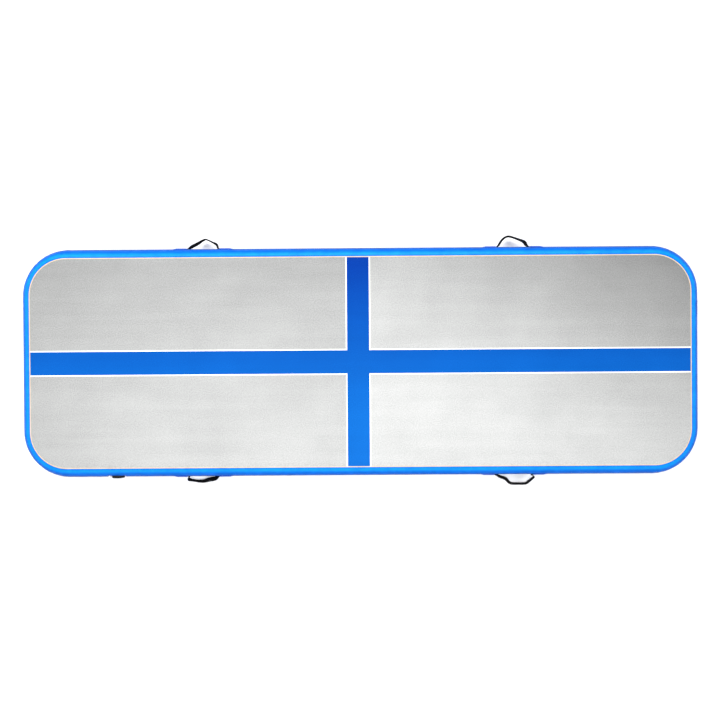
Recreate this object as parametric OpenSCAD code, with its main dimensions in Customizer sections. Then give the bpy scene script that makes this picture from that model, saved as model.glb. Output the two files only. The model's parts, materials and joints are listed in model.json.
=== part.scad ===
// Air track mat: an inflatable drop-stitch tumbling strip with webbing handles and an air valve.
// Origin: centre of the underside. +X runs along the strip, +Y across it, +Z up.
// The valve and two of the handles are on the front side, which faces -Y.

/* [Mat] */
// Length over the rounded ends
mat_l = 2990; // [2000:10:6000]
// Width over the rounded sides
mat_w = 1010; // [800:10:2000]
// Thickness when inflated
mat_h = 100; // [90:1:120]
// Plan radius of the four corners
corner_r = 205; // [180:5:300]

/* [Fabric layers] */
// Thickness of each coated face
skin_t = 0.7; // [0.5:0.1:1]
// Thickness of the woven ply under each face
ply_t = 0.5; // [0.3:0.1:0.8]
// Thickness of each of the two side wall layers
wall_t = 0.7; // [0.5:0.1:1]
// Thickness of the printed deck marking
print_t = 0.3; // [0.2:0.1:0.4]
// Thickness of the tape over each seam
tape_t = 0.6; // [0.4:0.1:0.6]
// Angle from the top of the side's arc where the inner wall starts
inner_wall_start = 4.6; // [4:0.1:6]
// Angle from the top of the side's arc where the seam tape starts
tape_start = 9.2; // [8:0.1:10]
// Angle from the top of the side's arc where the outer wall starts
outer_wall_start = 12; // [11:1:20]
// Angle from the top of the side's arc where the seam tape ends
tape_end = 38; // [30:1:45]
// Length of the strip that laps the side wall's two ends
splice_l = 60; // [40:5:80]
// Distance of that strip from the middle of the right end
splice_y = 230; // [150:10:250]
// Spacing of the yarn bundles that tie the two faces together
thread_pitch = 108; // [100:1:200]
// Diameter of a yarn bundle
thread_d = 2; // [1:0.5:4]

/* [Deck marking] */
// Width of the stripe along the strip
long_stripe_w = 102; // [60:1:140]
// Width of the stripe across the strip
cross_stripe_w = 97; // [60:1:140]
// How far the cross stripe lies off the middle
cross_stripe_x = -8; // [-40:1:40]
// Width of the light lines beside the stripes
pinstripe_w = 5.5; // [3:0.5:10]

/* [Handles] */
// Rear left handle: place along the strip, distance between its ends, droop below level, reach from its hinge
rear_left = [-693, 138, 30, 44]; // [-900:1:900]
// Rear right handle, the same
rear_right = [680, 141, 25, 46]; // [-900:1:900]
// Front left handle, the same
front_left = [-698, 134, 50, 34]; // [-900:1:900]
// Front right handle, the same
front_right = [678, 165, 32, 45]; // [-900:1:900]
// Width of the webbing
webbing_w = 25; // [20:1:25]
// Thickness of the webbing
webbing_t = 1.6; // [1:0.1:2]
// Length of webbing under each patch
tail_l = 52; // [40:2:60]
// Thickness of a handle patch
patch_t = 0.9; // [0.6:0.1:1.2]

/* [Valve] */
// Distance of the valve from the middle of the strip
valve_x = -1080; // [-1200:10:-900]
// Radius of the valve's flange
flange_r = 29.5; // [28:0.5:30]
// Radius of the socket that takes the pump's nozzle
socket_r = 15; // [14:0.5:15]
// Radius of the cap
cap_r = 28; // [27:0.5:28]
// How far the cap stands proud of the side wall
cap_proud = 4.2; // [4:0.1:6]
// How far the push button travels
button_travel = 6; // [5:0.5:6]
// Number of active turns in the valve's spring
spring_turns = 4; // [3:1:5]

/* [Hidden] */
$fn = 72;

// Colours
deck_grey = [0.87, 0.87, 0.86];
stripe_blue = [0.09, 0.42, 0.85];
band_blue = [0.12, 0.50, 0.98];
line_white = [0.98, 0.97, 0.95];
webbing_black = [0.05, 0.05, 0.06];
valve_black = [0.08, 0.08, 0.09];
yarn_white = [0.92, 0.92, 0.90];

// The side's cross-section is a half circle of radius wall_r about the wall centre line.
wall_r = mat_h / 2;
mid_z = mat_h / 2;
centre_x = mat_l / 2 - wall_r;
centre_y = mat_w / 2 - wall_r;
turn_r = corner_r - wall_r;
straight_x = mat_l / 2 - corner_r;
straight_y = mat_w / 2 - corner_r;

// Radii of the layers, from the outside in
outer_wall_r = wall_r;
inner_wall_r = outer_wall_r - wall_t;
skin_r = inner_wall_r - wall_t;
ply_r = skin_r - skin_t;
skin_lap = 30;
flat_inset = 16;
top_face = mat_h / 2 - print_t;
bottom_face = mat_h / 2;

// Valve sizes, along the valve's axis from the outermost line of the side wall, outwards positive
clamp_w = -8;
notch_half = 36;
valve_patch_half = [35.6, 25.5];
valve_patch_t = 0.8;
throat_hole_r = 18.2;
gasket_w = clamp_w + valve_patch_t;
gasket_t = 0.8;
gasket_r = 28;
flange_w = gasket_w + gasket_t;
flange_t = 2.5;
flange_top = flange_w + flange_t;
neck_r = 19.5;
neck_top = 0.6;
socket_floor = -4.6;
throat_bore_r = 14;
throat_r = 17.6;
throat_end = -27;
seat_t = 1;
seat_r = 12;
hub_top = -21;
hub_t = 3;
hub_r = 6.5;
hub_bore_r = 2.8;
spoke_w = 1.8;
stem_r = 2.4;
lug_half = 4.5;
lug_w = 2;
lug_t = 1.6;
lug_gap = 0.4;
slot_gap = 0.4;
seal_gap = 0.05;
seal_t = 1.3;
seal_inner_r = 11;
disc_r = 16.5;
disc_t = 2.2;
nut_r = 26;
nut_t = 4;
nut_gap = 0.3;
nut_notch_r = 2.6;
nut_notches = 12;
washer_w = -9.8;
washer_t = 0.8;
washer_r = 8.4;
washer_bore_r = 2.7;
spring_r = 7.2;
spring_wire_r = 0.5;
button_r = 6.5;
button_w = washer_w + washer_t + 0.1;
button_top = -5;
cap_skirt_end = -3.4;
cap_skirt_inner = 19.9;
cap_skirt_outer = 22.6;
cap_groove_r = 21.9;
cap_groove = [-3, -1.2];
cap_plate_w = 1.2;
cap_rim_w = -1;
cap_rim_t = 2;
tether_w = -2.7;
tether_t = 1.2;
tether_inner_r = 22.2;
tether_outer_r = 25;
tether_arm_w = 8;
hinge_x = -33.5;
arm_clear = 0.5;
post_clear = 1.1;
post_t = 1.2;
overcut = 1;

// Handle sizes
hinge_out = 5;
tail_lead = 6;
patch_lead = 4;
patch_overhang = 10;
patch_half_angle = 32;
tail_half_angle = webbing_w / 2 / wall_r * 180 / PI;
tail_clear = 0.2;
bridge_margin = 1;
taper_from = [0, 3.2];
taper_to = 15;
taper_far = 90;
loop_steps = 20;
loop_bulge = 6;

// A point at an angle from straight up, turning outwards, and a distance from the wall centre line.
function at_angle(angle, radius) = [radius * sin(angle), radius * cos(angle)];

// A slice of pie between two angles.
module slice(from, to, radius) {
    middle = (from + to) / 2;
    polygon([[0, 0], at_angle(from, radius), at_angle((from + middle) / 2, radius),
        at_angle(middle, radius), at_angle((middle + to) / 2, radius), at_angle(to, radius)]);
}

// A curved strip of the side's cross-section.
module arc_strip(inner, outer, from, to) {
    intersection() {
        difference() {
            circle(outer);
            circle(inner);
        }
        slice(from, to, 2 * wall_r);
    }
}

// Sweeps a cross-section round the mat. Its X is the distance outwards from the wall centre line.
module around_edge() {
    translate([0, 0, mid_z])
        for (turn = [0, 180])
            rotate(turn) {
                translate([-straight_x, centre_y, 0])
                    rotate([90, 0, 90]) linear_extrude(2 * straight_x) children();
                translate([centre_x, straight_y, 0])
                    rotate([90, 0, 0]) linear_extrude(2 * straight_y) children();
                translate([straight_x, straight_y, 0]) corner_sweep() children();
                translate([straight_x, -straight_y, 0]) rotate(-90) corner_sweep() children();
            }
}

module corner_sweep() {
    rotate_extrude(angle = 90) translate([turn_r, 0]) children();
}

// A sheet lying on the side wall, facing +Y, centred on x = 0, between two angles from the top.
module wall_sheet(length, inner, outer, from, to) {
    translate([-length / 2, centre_y, mid_z]) rotate([90, 0, 90]) linear_extrude(length)
        arc_strip(inner, outer, from, to);
}

// The same, from one angle below the middle of the wall to the same angle above it.
module wall_patch(length, inner, outer, half_angle) {
    wall_sheet(length, inner, outer, 90 - half_angle, 90 + half_angle);
}

// Cross-section of a face layer: flat, then sloping down to the wall's arc and lapping onto it.
module face_section(face, radius, layer_t, lap) {
    translate([-turn_r, face - layer_t]) square([turn_r - flat_inset, layer_t]);
    polygon([[-flat_inset, face - layer_t], [-flat_inset, face], [0, radius], [0, radius - layer_t]]);
    arc_strip(radius - layer_t, radius, 0, lap);
}

// A whole face layer, as the top one.
module face_layer(face, radius, layer_t) {
    around_edge() face_section(face, radius, layer_t, skin_lap);
    translate([-straight_x, -straight_y, mid_z + face - layer_t])
        cube([2 * straight_x, 2 * straight_y, layer_t]);
}

module turned_over() {
    translate([0, 0, mat_h]) mirror([0, 0, 1]) children();
}

module top_skin() {
    color(deck_grey) face_layer(top_face, skin_r, skin_t);
}

module bottom_skin() {
    color(deck_grey) turned_over() face_layer(bottom_face, skin_r, skin_t);
}

module top_ply() {
    color(yarn_white) face_layer(top_face - skin_t, ply_r, ply_t);
}

module bottom_ply() {
    color(yarn_white) turned_over() face_layer(bottom_face - skin_t, ply_r, ply_t);
}

// How far a place on the deck lies outside the straight runs, into a corner.
function outside_straights(x, y) = norm([max(abs(x) - straight_x, 0), max(abs(y) - straight_y, 0)]);

// Yarn bundles between the two plies, standing for the many thousand single drop yarns.
module drop_threads() {
    low = skin_t + ply_t;
    high = mid_z + top_face - skin_t - ply_t;
    across = floor((centre_y - flat_inset) / thread_pitch);
    along = floor((centre_x - flat_inset) / thread_pitch);
    color(yarn_white)
        for (i = [-along:along], j = [-across:across])
            if (outside_straights(i * thread_pitch, j * thread_pitch) < turn_r - flat_inset - thread_d)
                translate([i * thread_pitch, j * thread_pitch, low]) cylinder(h = high - low, d = thread_d);
}

// The room that the flattened wall leaves around the valve, at one layer of the wall.
module valve_notch(depth) {
    half = notch_half + depth;
    translate([valve_x - half, -mat_w, 0]) cube([2 * half, mat_w - mat_w / 2 - clamp_w + depth, mat_h]);
}

// A layer of the side wall, with its flat at the valve.
module wall_layer(outer, from) {
    depth = wall_r - outer;
    difference() {
        around_edge() arc_strip(outer - wall_t, outer, from, 180 - from);
        valve_notch(depth + wall_t);
    }
    difference() {
        intersection() {
            translate([valve_x - mat_h, -centre_y, mid_z])
                rotate([0, 90, 0]) cylinder(h = 2 * mat_h, r = outer);
            valve_notch(depth + wall_t);
        }
        valve_notch(depth);
        at_valve() translate([0, 0, clamp_w - wall_r]) cylinder(h = wall_r, r = throat_hole_r);
    }
}

module inner_wall() {
    color(line_white) wall_layer(inner_wall_r, inner_wall_start);
}

module outer_wall() {
    color(band_blue) wall_layer(outer_wall_r, outer_wall_start);
}

// The tape over the seam between a face and the side wall: a foot on the inner wall, then a lap on the outer.
module seam_tape() {
    around_edge() {
        arc_strip(inner_wall_r, outer_wall_r + tape_t, tape_start, outer_wall_start);
        arc_strip(outer_wall_r, outer_wall_r + tape_t, outer_wall_start, tape_end);
    }
}

module top_seam_tape() {
    color(band_blue) seam_tape();
}

module bottom_seam_tape() {
    color(band_blue) turned_over() seam_tape();
}

// The strip over the joint between the side wall's two ends.
module wall_splice() {
    color(band_blue)
        translate([centre_x - centre_y, splice_y, 0]) rotate(-90)
            wall_sheet(splice_l, outer_wall_r, outer_wall_r + tape_t, tape_end, 180 - tape_end);
}

// Half of a printed strip's cross-section, from a start distance out to the inner wall's edge.
module print_half(start, centre) {
    translate([start, top_face]) square([centre - flat_inset - start, print_t]);
    translate([centre, 0]) {
        polygon([[-flat_inset, top_face], [-flat_inset, top_face + print_t],
            [0, skin_r + print_t], [0, skin_r]]);
        arc_strip(skin_r, skin_r + print_t, 0, inner_wall_start);
    }
}

// A printed strip running towards +X, from a start distance to the end's edge.
module strip_along(start, width) {
    translate([0, width / 2, mid_z]) rotate([90, 0, 0]) linear_extrude(width) print_half(start, centre_x);
}

// A printed strip running towards +Y, from a start distance to the side's edge.
module strip_across(start, width) {
    translate([-width / 2, 0, mid_z]) rotate([90, 0, 90]) linear_extrude(width) print_half(start, centre_y);
}

module long_stripe() {
    color(stripe_blue)
        for (turn = [0, 180])
            rotate(turn) strip_along(0, long_stripe_w);
}

module cross_stripes() {
    color(stripe_blue)
        for (side = [0, 1])
            mirror([0, side, 0]) translate([cross_stripe_x, 0, 0])
                strip_across(long_stripe_w / 2, cross_stripe_w);
}

// One light line in each quarter of the deck, round the inner corner of the grey panel.
module pinstripes() {
    line_y = long_stripe_w / 2 + pinstripe_w / 2;
    color(line_white)
        for (right = [-1, 1], rear = [0, 1]) {
            line_x = cross_stripe_x + right * (cross_stripe_w / 2 + pinstripe_w / 2);
            mirror([0, rear, 0]) {
                translate([line_x, 0, 0]) strip_across(long_stripe_w / 2, pinstripe_w);
                translate([0, line_y, 0]) mirror([right < 0 ? 1 : 0, 0, 0])
                    strip_along(right * line_x + pinstripe_w / 2, pinstripe_w);
            }
        }
}

// A handle's numbers: its place along the strip, the distance between its ends, its droop and its reach.
function place(handle) = handle[0];
function span(handle) = handle[1];
function droop(handle) = handle[2];
function reach(handle) = handle[3];

// Places a handle's piece, made for the rear side at x = 0, on the rear or the front side.
module at_handle(handle, rear) {
    translate([place(handle), 0, 0]) mirror([0, rear ? 0 : 1, 0]) children();
}

// Each end of the handle, with the piece running away from the loop.
module at_both_ends(handle) {
    for (side = [0, 1])
        mirror([side, 0, 0]) translate([span(handle) / 2, 0, 0]) children();
}

// The fixed ends of the webbing, flat on the wall under the patches.
module handle_tails(handle, rear) {
    length = tail_lead + tail_l;
    color(webbing_black)
        at_handle(handle, rear) at_both_ends(handle)
            translate([length / 2 - tail_lead, 0, 0])
                wall_patch(length, wall_r, wall_r + webbing_t, tail_half_angle);
}

// The patches welded over the webbing's ends: a flange on the wall with a raised bridge.
module handle_patches(handle, rear) {
    pocket_l = tail_l - patch_lead + tail_clear;
    bridge_l = pocket_l + patch_t;
    flange_l = tail_l - patch_lead + patch_overhang;
    roof = wall_r + webbing_t + tail_clear;
    pocket_angle = tail_half_angle + 0.5;
    bridge_angle = pocket_angle + bridge_margin;
    color(band_blue)
        at_handle(handle, rear) at_both_ends(handle) translate([patch_lead, 0, 0])
            difference() {
                union() {
                    translate([flange_l / 2, 0, 0])
                        wall_patch(flange_l, wall_r, wall_r + patch_t, patch_half_angle);
                    translate([bridge_l / 2, 0, 0])
                        wall_patch(bridge_l, wall_r, roof + patch_t, bridge_angle);
                }
                translate([pocket_l / 2 - overcut, 0, 0])
                    wall_patch(pocket_l + 2 * overcut, wall_r - overcut, roof, pocket_angle);
            }
}

// The loop's centre line: a cubic curve from one end to the other, and its slope.
function loop_line(handle, t) = [
    span(handle) * (t - 0.5) - 3 * loop_bulge * t * (1 - t) * (1 - 2 * t),
    4 * reach(handle) * t * (1 - t)
];
function loop_slope(handle, t) = [
    span(handle) - 3 * loop_bulge * (1 - 6 * t + 6 * t * t),
    4 * reach(handle) * (1 - 2 * t)
];
function loop_square(handle, t) = [-loop_slope(handle, t)[1], loop_slope(handle, t)[0]]
    / norm(loop_slope(handle, t));
function loop_edge(handle, t, side) = loop_line(handle, t)
    + side * webbing_t / 2 * loop_square(handle, t);

// The free loop of webbing, narrowed where it meets the wall so that it can turn.
module handle_loop(handle, rear) {
    length = span(handle);
    outline = concat(
        [for (i = [0:loop_steps]) loop_edge(handle, i / loop_steps, 1)],
        [for (i = [loop_steps:-1:0]) loop_edge(handle, i / loop_steps, -1)]);
    color(webbing_black)
        at_handle(handle, rear) translate([0, mat_w / 2 + hinge_out, mid_z]) rotate([-droop(handle), 0, 0])
            intersection() {
                translate([0, 0, -webbing_w / 2]) linear_extrude(webbing_w) polygon(outline);
                translate([-length, 0, 0]) rotate([90, 0, 90]) linear_extrude(2 * length)
                    polygon([[taper_from[0], -taper_from[1]], [taper_to, -webbing_w / 2],
                        [taper_far, -webbing_w / 2], [taper_far, webbing_w / 2],
                        [taper_to, webbing_w / 2], [taper_from[0], taper_from[1]]]);
            }
}

// Places a valve piece made round the Z axis, with z = 0 on the outermost line of the side wall.
module at_valve() {
    translate([valve_x, -mat_w / 2, mid_z]) rotate([90, 0, 0]) children();
}

// A ring between two radii and two levels.
module ring(inner, outer, low, high) {
    translate([0, 0, low])
        difference() {
            cylinder(h = high - low, r = outer);
            translate([0, 0, -overcut]) cylinder(h = high - low + 2 * overcut, r = inner);
        }
}

module valve_patch() {
    color(band_blue)
        at_valve()
            difference() {
                translate([-valve_patch_half[0], -valve_patch_half[1], clamp_w])
                    cube([2 * valve_patch_half[0], 2 * valve_patch_half[1], valve_patch_t]);
                translate([0, 0, clamp_w - overcut])
                    cylinder(h = valve_patch_t + 2 * overcut, r = throat_hole_r);
            }
}

// The rubber gasket under the flange, with the tab and post that the cap's tether hangs from.
module body_gasket() {
    post_x = hinge_x - post_clear - post_t;
    color(valve_black)
        at_valve()
            difference() {
                union() {
                    translate([0, 0, gasket_w]) cylinder(h = gasket_t, r = gasket_r);
                    translate([post_x, -tether_arm_w / 2, gasket_w]) cube([-post_x, tether_arm_w, gasket_t]);
                    translate([post_x, -tether_arm_w / 2, gasket_w])
                        cube([post_t, tether_arm_w, tether_w + tether_t - gasket_w]);
                }
                translate([0, 0, gasket_w - overcut]) cylinder(h = gasket_t + 2 * overcut, r = throat_hole_r);
            }
}

// The moulded body: flange, neck, throat, the seat at its inner end and the hub that guides the stem.
module valve_body() {
    color(valve_black)
        at_valve() {
            rotate_extrude()
                polygon([[throat_bore_r, throat_end + seat_t], [seat_r, throat_end + seat_t],
                    [seat_r, throat_end], [throat_r, throat_end], [throat_r, flange_w],
                    [flange_r, flange_w], [flange_r, flange_top], [neck_r, flange_top],
                    [neck_r, neck_top], [socket_r, neck_top], [socket_r, socket_floor],
                    [throat_bore_r, socket_floor]]);
            difference() {
                union() {
                    translate([0, 0, hub_top - hub_t]) cylinder(h = hub_t, r = hub_r);
                    for (turn = [0, 90])
                        rotate(45 + turn) translate([-throat_bore_r - overcut, -spoke_w / 2, hub_top - hub_t])
                            cube([2 * (throat_bore_r + overcut), spoke_w, hub_t]);
                }
                translate([0, 0, hub_top - hub_t - overcut])
                    cylinder(h = hub_t + 2 * overcut, r = hub_bore_r);
                translate([-lug_half - slot_gap, -lug_w / 2 - slot_gap, hub_top - hub_t - overcut])
                    cube([2 * (lug_half + slot_gap), lug_w + 2 * slot_gap, hub_t + 2 * overcut]);
            }
        }
}

// The nut that clamps the wall from inside, with finger notches round its rim.
module backing_nut() {
    high = clamp_w - 2 * wall_t;
    color(valve_black)
        at_valve()
            difference() {
                ring(throat_r + nut_gap, nut_r, high - nut_t, high);
                for (i = [0:nut_notches - 1])
                    rotate(i * 360 / nut_notches) translate([nut_r + 1, 0, high - nut_t - overcut])
                        cylinder(h = nut_t + 2 * overcut, r = nut_notch_r);
            }
}

module spring_washer() {
    color("silver") at_valve() ring(washer_bore_r, washer_r, washer_w, washer_w + washer_t);
}

// A round wire wound as a helix, one ring of corners for each step.
module valve_spring() {
    sides = 8;
    steps = 24 * spring_turns;
    low = hub_top + spring_wire_r;
    high = washer_w - spring_wire_r;
    points = [for (i = [0:steps], j = [0:sides - 1])
        let (turn = 360 * spring_turns * i / steps, around = 360 * j / sides,
            radius = spring_r + spring_wire_r * cos(around))
        [radius * cos(turn), radius * sin(turn),
            low + (high - low) * i / steps + spring_wire_r * sin(around)]];
    walls = [for (i = [0:steps - 1], j = [0:sides - 1])
        let (a = i * sides + j, b = i * sides + (j + 1) % sides)
        [a, a + sides, b + sides, b]];
    ends = [[for (j = [0:sides - 1]) j], [for (j = [sides - 1:-1:0]) steps * sides + j]];
    color("silver") at_valve() polyhedron(points, concat(walls, ends));
}

// The stem with its sealing disc and the cross lug that can lock it open under the hub.
module poppet() {
    disc_top = throat_end - seal_gap - seal_t;
    stem_end = button_w;
    color(valve_black)
        at_valve() {
            translate([0, 0, disc_top - disc_t]) cylinder(h = disc_t, r = disc_r);
            translate([0, 0, disc_top - disc_t]) cylinder(h = stem_end - disc_top + disc_t, r = stem_r);
            translate([-lug_half, -lug_w / 2, hub_top + lug_gap]) cube([2 * lug_half, lug_w, lug_t]);
        }
}

module poppet_seal() {
    seal_top = throat_end - seal_gap;
    color([0.75, 0.2, 0.15]) at_valve() ring(seal_inner_r, disc_r, seal_top - seal_t, seal_top);
}

module push_button() {
    color("dimgray")
        at_valve() rotate_extrude()
            polygon([[0, button_w], [button_r, button_w], [button_r, button_top - 1],
                [button_r - 1, button_top], [0, button_top]]);
}

// The ring round the cap's skirt, and the arm that joins it to the gasket's post.
module cap_tether() {
    arm_x = hinge_x + arm_clear;
    color(valve_black)
        at_valve()
            difference() {
                union() {
                    translate([0, 0, tether_w]) cylinder(h = tether_t, r = tether_outer_r);
                    translate([arm_x, -tether_arm_w / 2, tether_w]) cube([-arm_x, tether_arm_w, tether_t]);
                }
                translate([0, 0, tether_w - overcut])
                    cylinder(h = tether_t + 2 * overcut, r = tether_inner_r);
            }
}

module valve_cap() {
    color(valve_black)
        at_valve() rotate_extrude()
            polygon([[0, cap_plate_w], [cap_skirt_inner, cap_plate_w], [cap_skirt_inner, cap_skirt_end],
                [cap_skirt_outer, cap_skirt_end], [cap_skirt_outer, cap_groove[0]],
                [cap_groove_r, cap_groove[0]], [cap_groove_r, cap_groove[1]],
                [cap_r - cap_rim_t, cap_groove[1]], [cap_r, cap_groove[1] + cap_rim_t],
                [cap_r, cap_proud - cap_rim_t], [cap_r - cap_rim_t, cap_proud], [0, cap_proud]]);
}

module cap_seal() {
    color([0.75, 0.2, 0.15]) at_valve() ring(socket_r + 1, neck_r, neck_top + seal_gap, cap_plate_w);
}

top_skin();
bottom_skin();
top_ply();
bottom_ply();
drop_threads();
inner_wall();
outer_wall();
top_seam_tape();
bottom_seam_tape();
wall_splice();
long_stripe();
cross_stripes();
pinstripes();
handle_patches(rear_left, true);  // rear_left_patches
handle_patches(rear_right, true);  // rear_right_patches
handle_patches(front_left, false);  // front_left_patches
handle_patches(front_right, false);  // front_right_patches
handle_tails(rear_left, true);  // rear_left_tails
handle_tails(rear_right, true);  // rear_right_tails
handle_tails(front_left, false);  // front_left_tails
handle_tails(front_right, false);  // front_right_tails
handle_loop(rear_left, true);  // rear_left_handle
handle_loop(rear_right, true);  // rear_right_handle
handle_loop(front_left, false);  // front_left_handle
handle_loop(front_right, false);  // front_right_handle
valve_patch();
body_gasket();
valve_body();
backing_nut();
spring_washer();
valve_spring();
poppet();
poppet_seal();
push_button();
cap_tether();
valve_cap();
cap_seal();
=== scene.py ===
# %% [markdown]
# # An inflatable tumbling mat
# The real mat is a drop-stitch chamber: two faces of coated cloth, held a hand's width apart by thousands
# of yarns, and closed all round by a side wall of two strips that bulges like a tube. Seam tapes cover the
# joints, stripes are printed on the deck, and webbing handles and a valve are fixed to the wall.
# The measured solids come from a CAD pack. Here each cloth piece is rebuilt round it as a thin closed shell
# that follows the same surfaces, and the small hard parts keep their CAD shape and get a finish.

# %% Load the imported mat
import json
import math
import random

import bpy
import numpy as np
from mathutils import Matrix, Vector


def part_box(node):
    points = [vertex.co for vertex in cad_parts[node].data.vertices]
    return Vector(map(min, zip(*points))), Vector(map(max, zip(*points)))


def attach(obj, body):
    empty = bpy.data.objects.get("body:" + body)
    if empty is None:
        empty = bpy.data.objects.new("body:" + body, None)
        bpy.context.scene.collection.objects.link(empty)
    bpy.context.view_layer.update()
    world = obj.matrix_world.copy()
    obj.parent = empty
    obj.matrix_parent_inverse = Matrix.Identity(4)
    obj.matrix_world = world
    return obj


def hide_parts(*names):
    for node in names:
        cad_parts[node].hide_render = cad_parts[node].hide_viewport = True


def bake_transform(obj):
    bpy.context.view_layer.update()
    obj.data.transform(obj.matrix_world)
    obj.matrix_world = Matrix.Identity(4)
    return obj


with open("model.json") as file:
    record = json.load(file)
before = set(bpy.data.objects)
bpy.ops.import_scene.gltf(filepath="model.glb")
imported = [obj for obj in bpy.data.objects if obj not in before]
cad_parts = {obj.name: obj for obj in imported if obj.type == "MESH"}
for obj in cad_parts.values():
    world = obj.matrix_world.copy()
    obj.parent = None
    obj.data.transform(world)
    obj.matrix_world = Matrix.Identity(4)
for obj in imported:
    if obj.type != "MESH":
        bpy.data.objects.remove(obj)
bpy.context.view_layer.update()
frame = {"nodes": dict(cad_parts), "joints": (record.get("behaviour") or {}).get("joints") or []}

# %% [markdown]
# ## The mat's own measures
# Everything is in metres and in the frame of the pack. Outer sizes are read from the pack's boxes. The few
# numbers that a box can't tell, such as the thickness of a strip of cloth, repeat those of the CAD source.

# %% Measures
MM = 0.001
wall_low, wall_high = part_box("outer_wall")
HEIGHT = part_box("long_stripe")[1].z
MID = HEIGHT / 2
WALL_R = MID
TURN_R = 0.155
CENTRE_X = wall_high.x - WALL_R
CENTRE_Y = wall_high.y - WALL_R
STRAIGHT_X = CENTRE_X - TURN_R
STRAIGHT_Y = CENTRE_Y - TURN_R
CLOTH = 0.7 * MM
PRINT = 0.3 * MM
TAPE = 0.6 * MM
PINSTRIPE = 5.5 * MM
FLAT_EDGE = TURN_R - 16 * MM
LIP, TAPE_START, OUTER_START, FACE_LAP, TAPE_END = (math.radians(a) for a in (4.6, 9.2, 12, 30, 38))
cross_low, cross_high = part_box("cross_stripes")
stripe_low, stripe_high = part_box("long_stripe")
cap_low, cap_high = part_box("valve_cap")
VALVE_X = (cap_low.x + cap_high.x) / 2
print("wall radius", WALL_R, "straight runs", round(2 * STRAIGHT_X, 3), round(2 * STRAIGHT_Y, 3))

# %% [markdown]
# ## Stations round the edge
# A rounded rectangle is an inner rectangle with a rim of one constant width round it. If the rectangle has a
# grid of lines, each line's end is a station: a point on the rectangle and the direction outwards from it.
# In a corner the point stays and the direction turns. Every layer of the mat uses the same stations, so the
# layers nest in one another and never cut through. Lines lie closer at the valve, where the wall is drawn
# in flat.

# %% Grid lines and stations
def grid_lines(low, high, step, exact=()):
    """Even lines from low to high, with the exact ones among them and no other line too near those."""
    exact = [low, high, *exact]
    count = round((high - low) / step)
    even = [low + (high - low) * i / count for i in range(count + 1)]
    kept = [x for x in even if all(abs(x - e) > step * 0.35 for e in exact)]
    return np.array(sorted({round(x, 6) for x in [*exact, *kept]}))


GRID = 14 * MM
VALVE_GRID = 2.5 * MM
valve_lines = [VALVE_X + i * VALVE_GRID for i in range(-22, 23)]
stripe_lines_x = [cross_low.x - PINSTRIPE, cross_low.x, cross_high.x, cross_high.x + PINSTRIPE]
stripe_lines_y = [stripe_low.y - PINSTRIPE, stripe_low.y, stripe_high.y, stripe_high.y + PINSTRIPE]
xs = grid_lines(-STRAIGHT_X, STRAIGHT_X, GRID, [*stripe_lines_x, *valve_lines])
ys = grid_lines(-STRAIGHT_Y, STRAIGHT_Y, GRID, stripe_lines_y)
CORNER_STEPS = 72
CORNER_RUN = (TURN_R + WALL_R) * math.pi / 2
RUN = 4 * (STRAIGHT_X + STRAIGHT_Y) + 4 * CORNER_RUN


def corner_stations(x, y, first):
    """Stations between two sides, turning a quarter from the direction first, both ends left out."""
    turns = [math.radians(first + 90 * i / CORNER_STEPS) for i in range(1, CORNER_STEPS)]
    return [(x, y, math.cos(t), math.sin(t)) for t in turns]


SIDES = {
    "front": ([(x, -STRAIGHT_Y, 0, -1) for x in xs], (STRAIGHT_X, -STRAIGHT_Y, -90)),
    "right": ([(STRAIGHT_X, y, 1, 0) for y in ys], (STRAIGHT_X, STRAIGHT_Y, 0)),
    "rear": ([(x, STRAIGHT_Y, 0, 1) for x in xs[::-1]], (-STRAIGHT_X, STRAIGHT_Y, 90)),
    "left": ([(-STRAIGHT_X, y, -1, 0) for y in ys[::-1]], (-STRAIGHT_X, -STRAIGHT_Y, 180)),
}
stations, station_run, side_start, run = [], [], {}, 0.0
for side, (straight, corner) in SIDES.items():
    side_start[side] = run
    length = math.dist(straight[0][:2], straight[-1][:2])
    for x, y, nx, ny in straight:
        stations.append((x, y, nx, ny))
        station_run.append(run + math.dist(straight[0][:2], (x, y)))
    turn = corner_stations(*corner)
    for i, place in enumerate(turn):
        stations.append(place)
        station_run.append(run + length + CORNER_RUN * (i + 1) / CORNER_STEPS)
    run += length + CORNER_RUN
stations = np.array(stations)
station_run = np.array(station_run)
print(len(xs), "by", len(ys), "grid lines,", len(stations), "stations, once round is", round(RUN, 3), "m")

# %% [markdown]
# ## How the wall's cloth really lies
# A tube of air is smooth where it runs straight and puckered where it turns, because the cloth was cut flat
# and its edge is too long for the corner. The puckers are strongest beside the seams, and long soft swells
# run on along the straight. At the valve the wall is drawn in flat under the flange. All are changes of the
# wall's radius. They could be sculpted or simulated, but one formula of the place round the edge and the
# angle down the wall moves all the layers alike.

# %% Puckers and the flat at the valve
def smooth(low, high, value):
    """0 below low, 1 above high, and an even curve between."""
    t = np.clip((value - low) / (high - low), 0, 1)
    return t * t * (3 - 2 * t)


# Each wave is how often it repeats once round the mat, where it starts and, for a pucker, how much it slants.
pucker_seed = random.Random(7)
PUCKERS = [(pucker_seed.randint(70, 330), pucker_seed.uniform(0, math.tau), pucker_seed.uniform(-3, 3))
           for _ in range(28)]
SWELLS = [(pucker_seed.randint(9, 40), pucker_seed.uniform(0, math.tau)) for _ in range(7)]
PUCKER_DEPTH, PUCKER_IN_CORNER, SWELL_DEPTH = 0.10 * MM, 0.62 * MM, 0.22 * MM
corner_middles = [side_start[s] + 2 * (STRAIGHT_X if s in ("front", "rear") else STRAIGHT_Y) + CORNER_RUN / 2
                  for s in SIDES]


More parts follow.
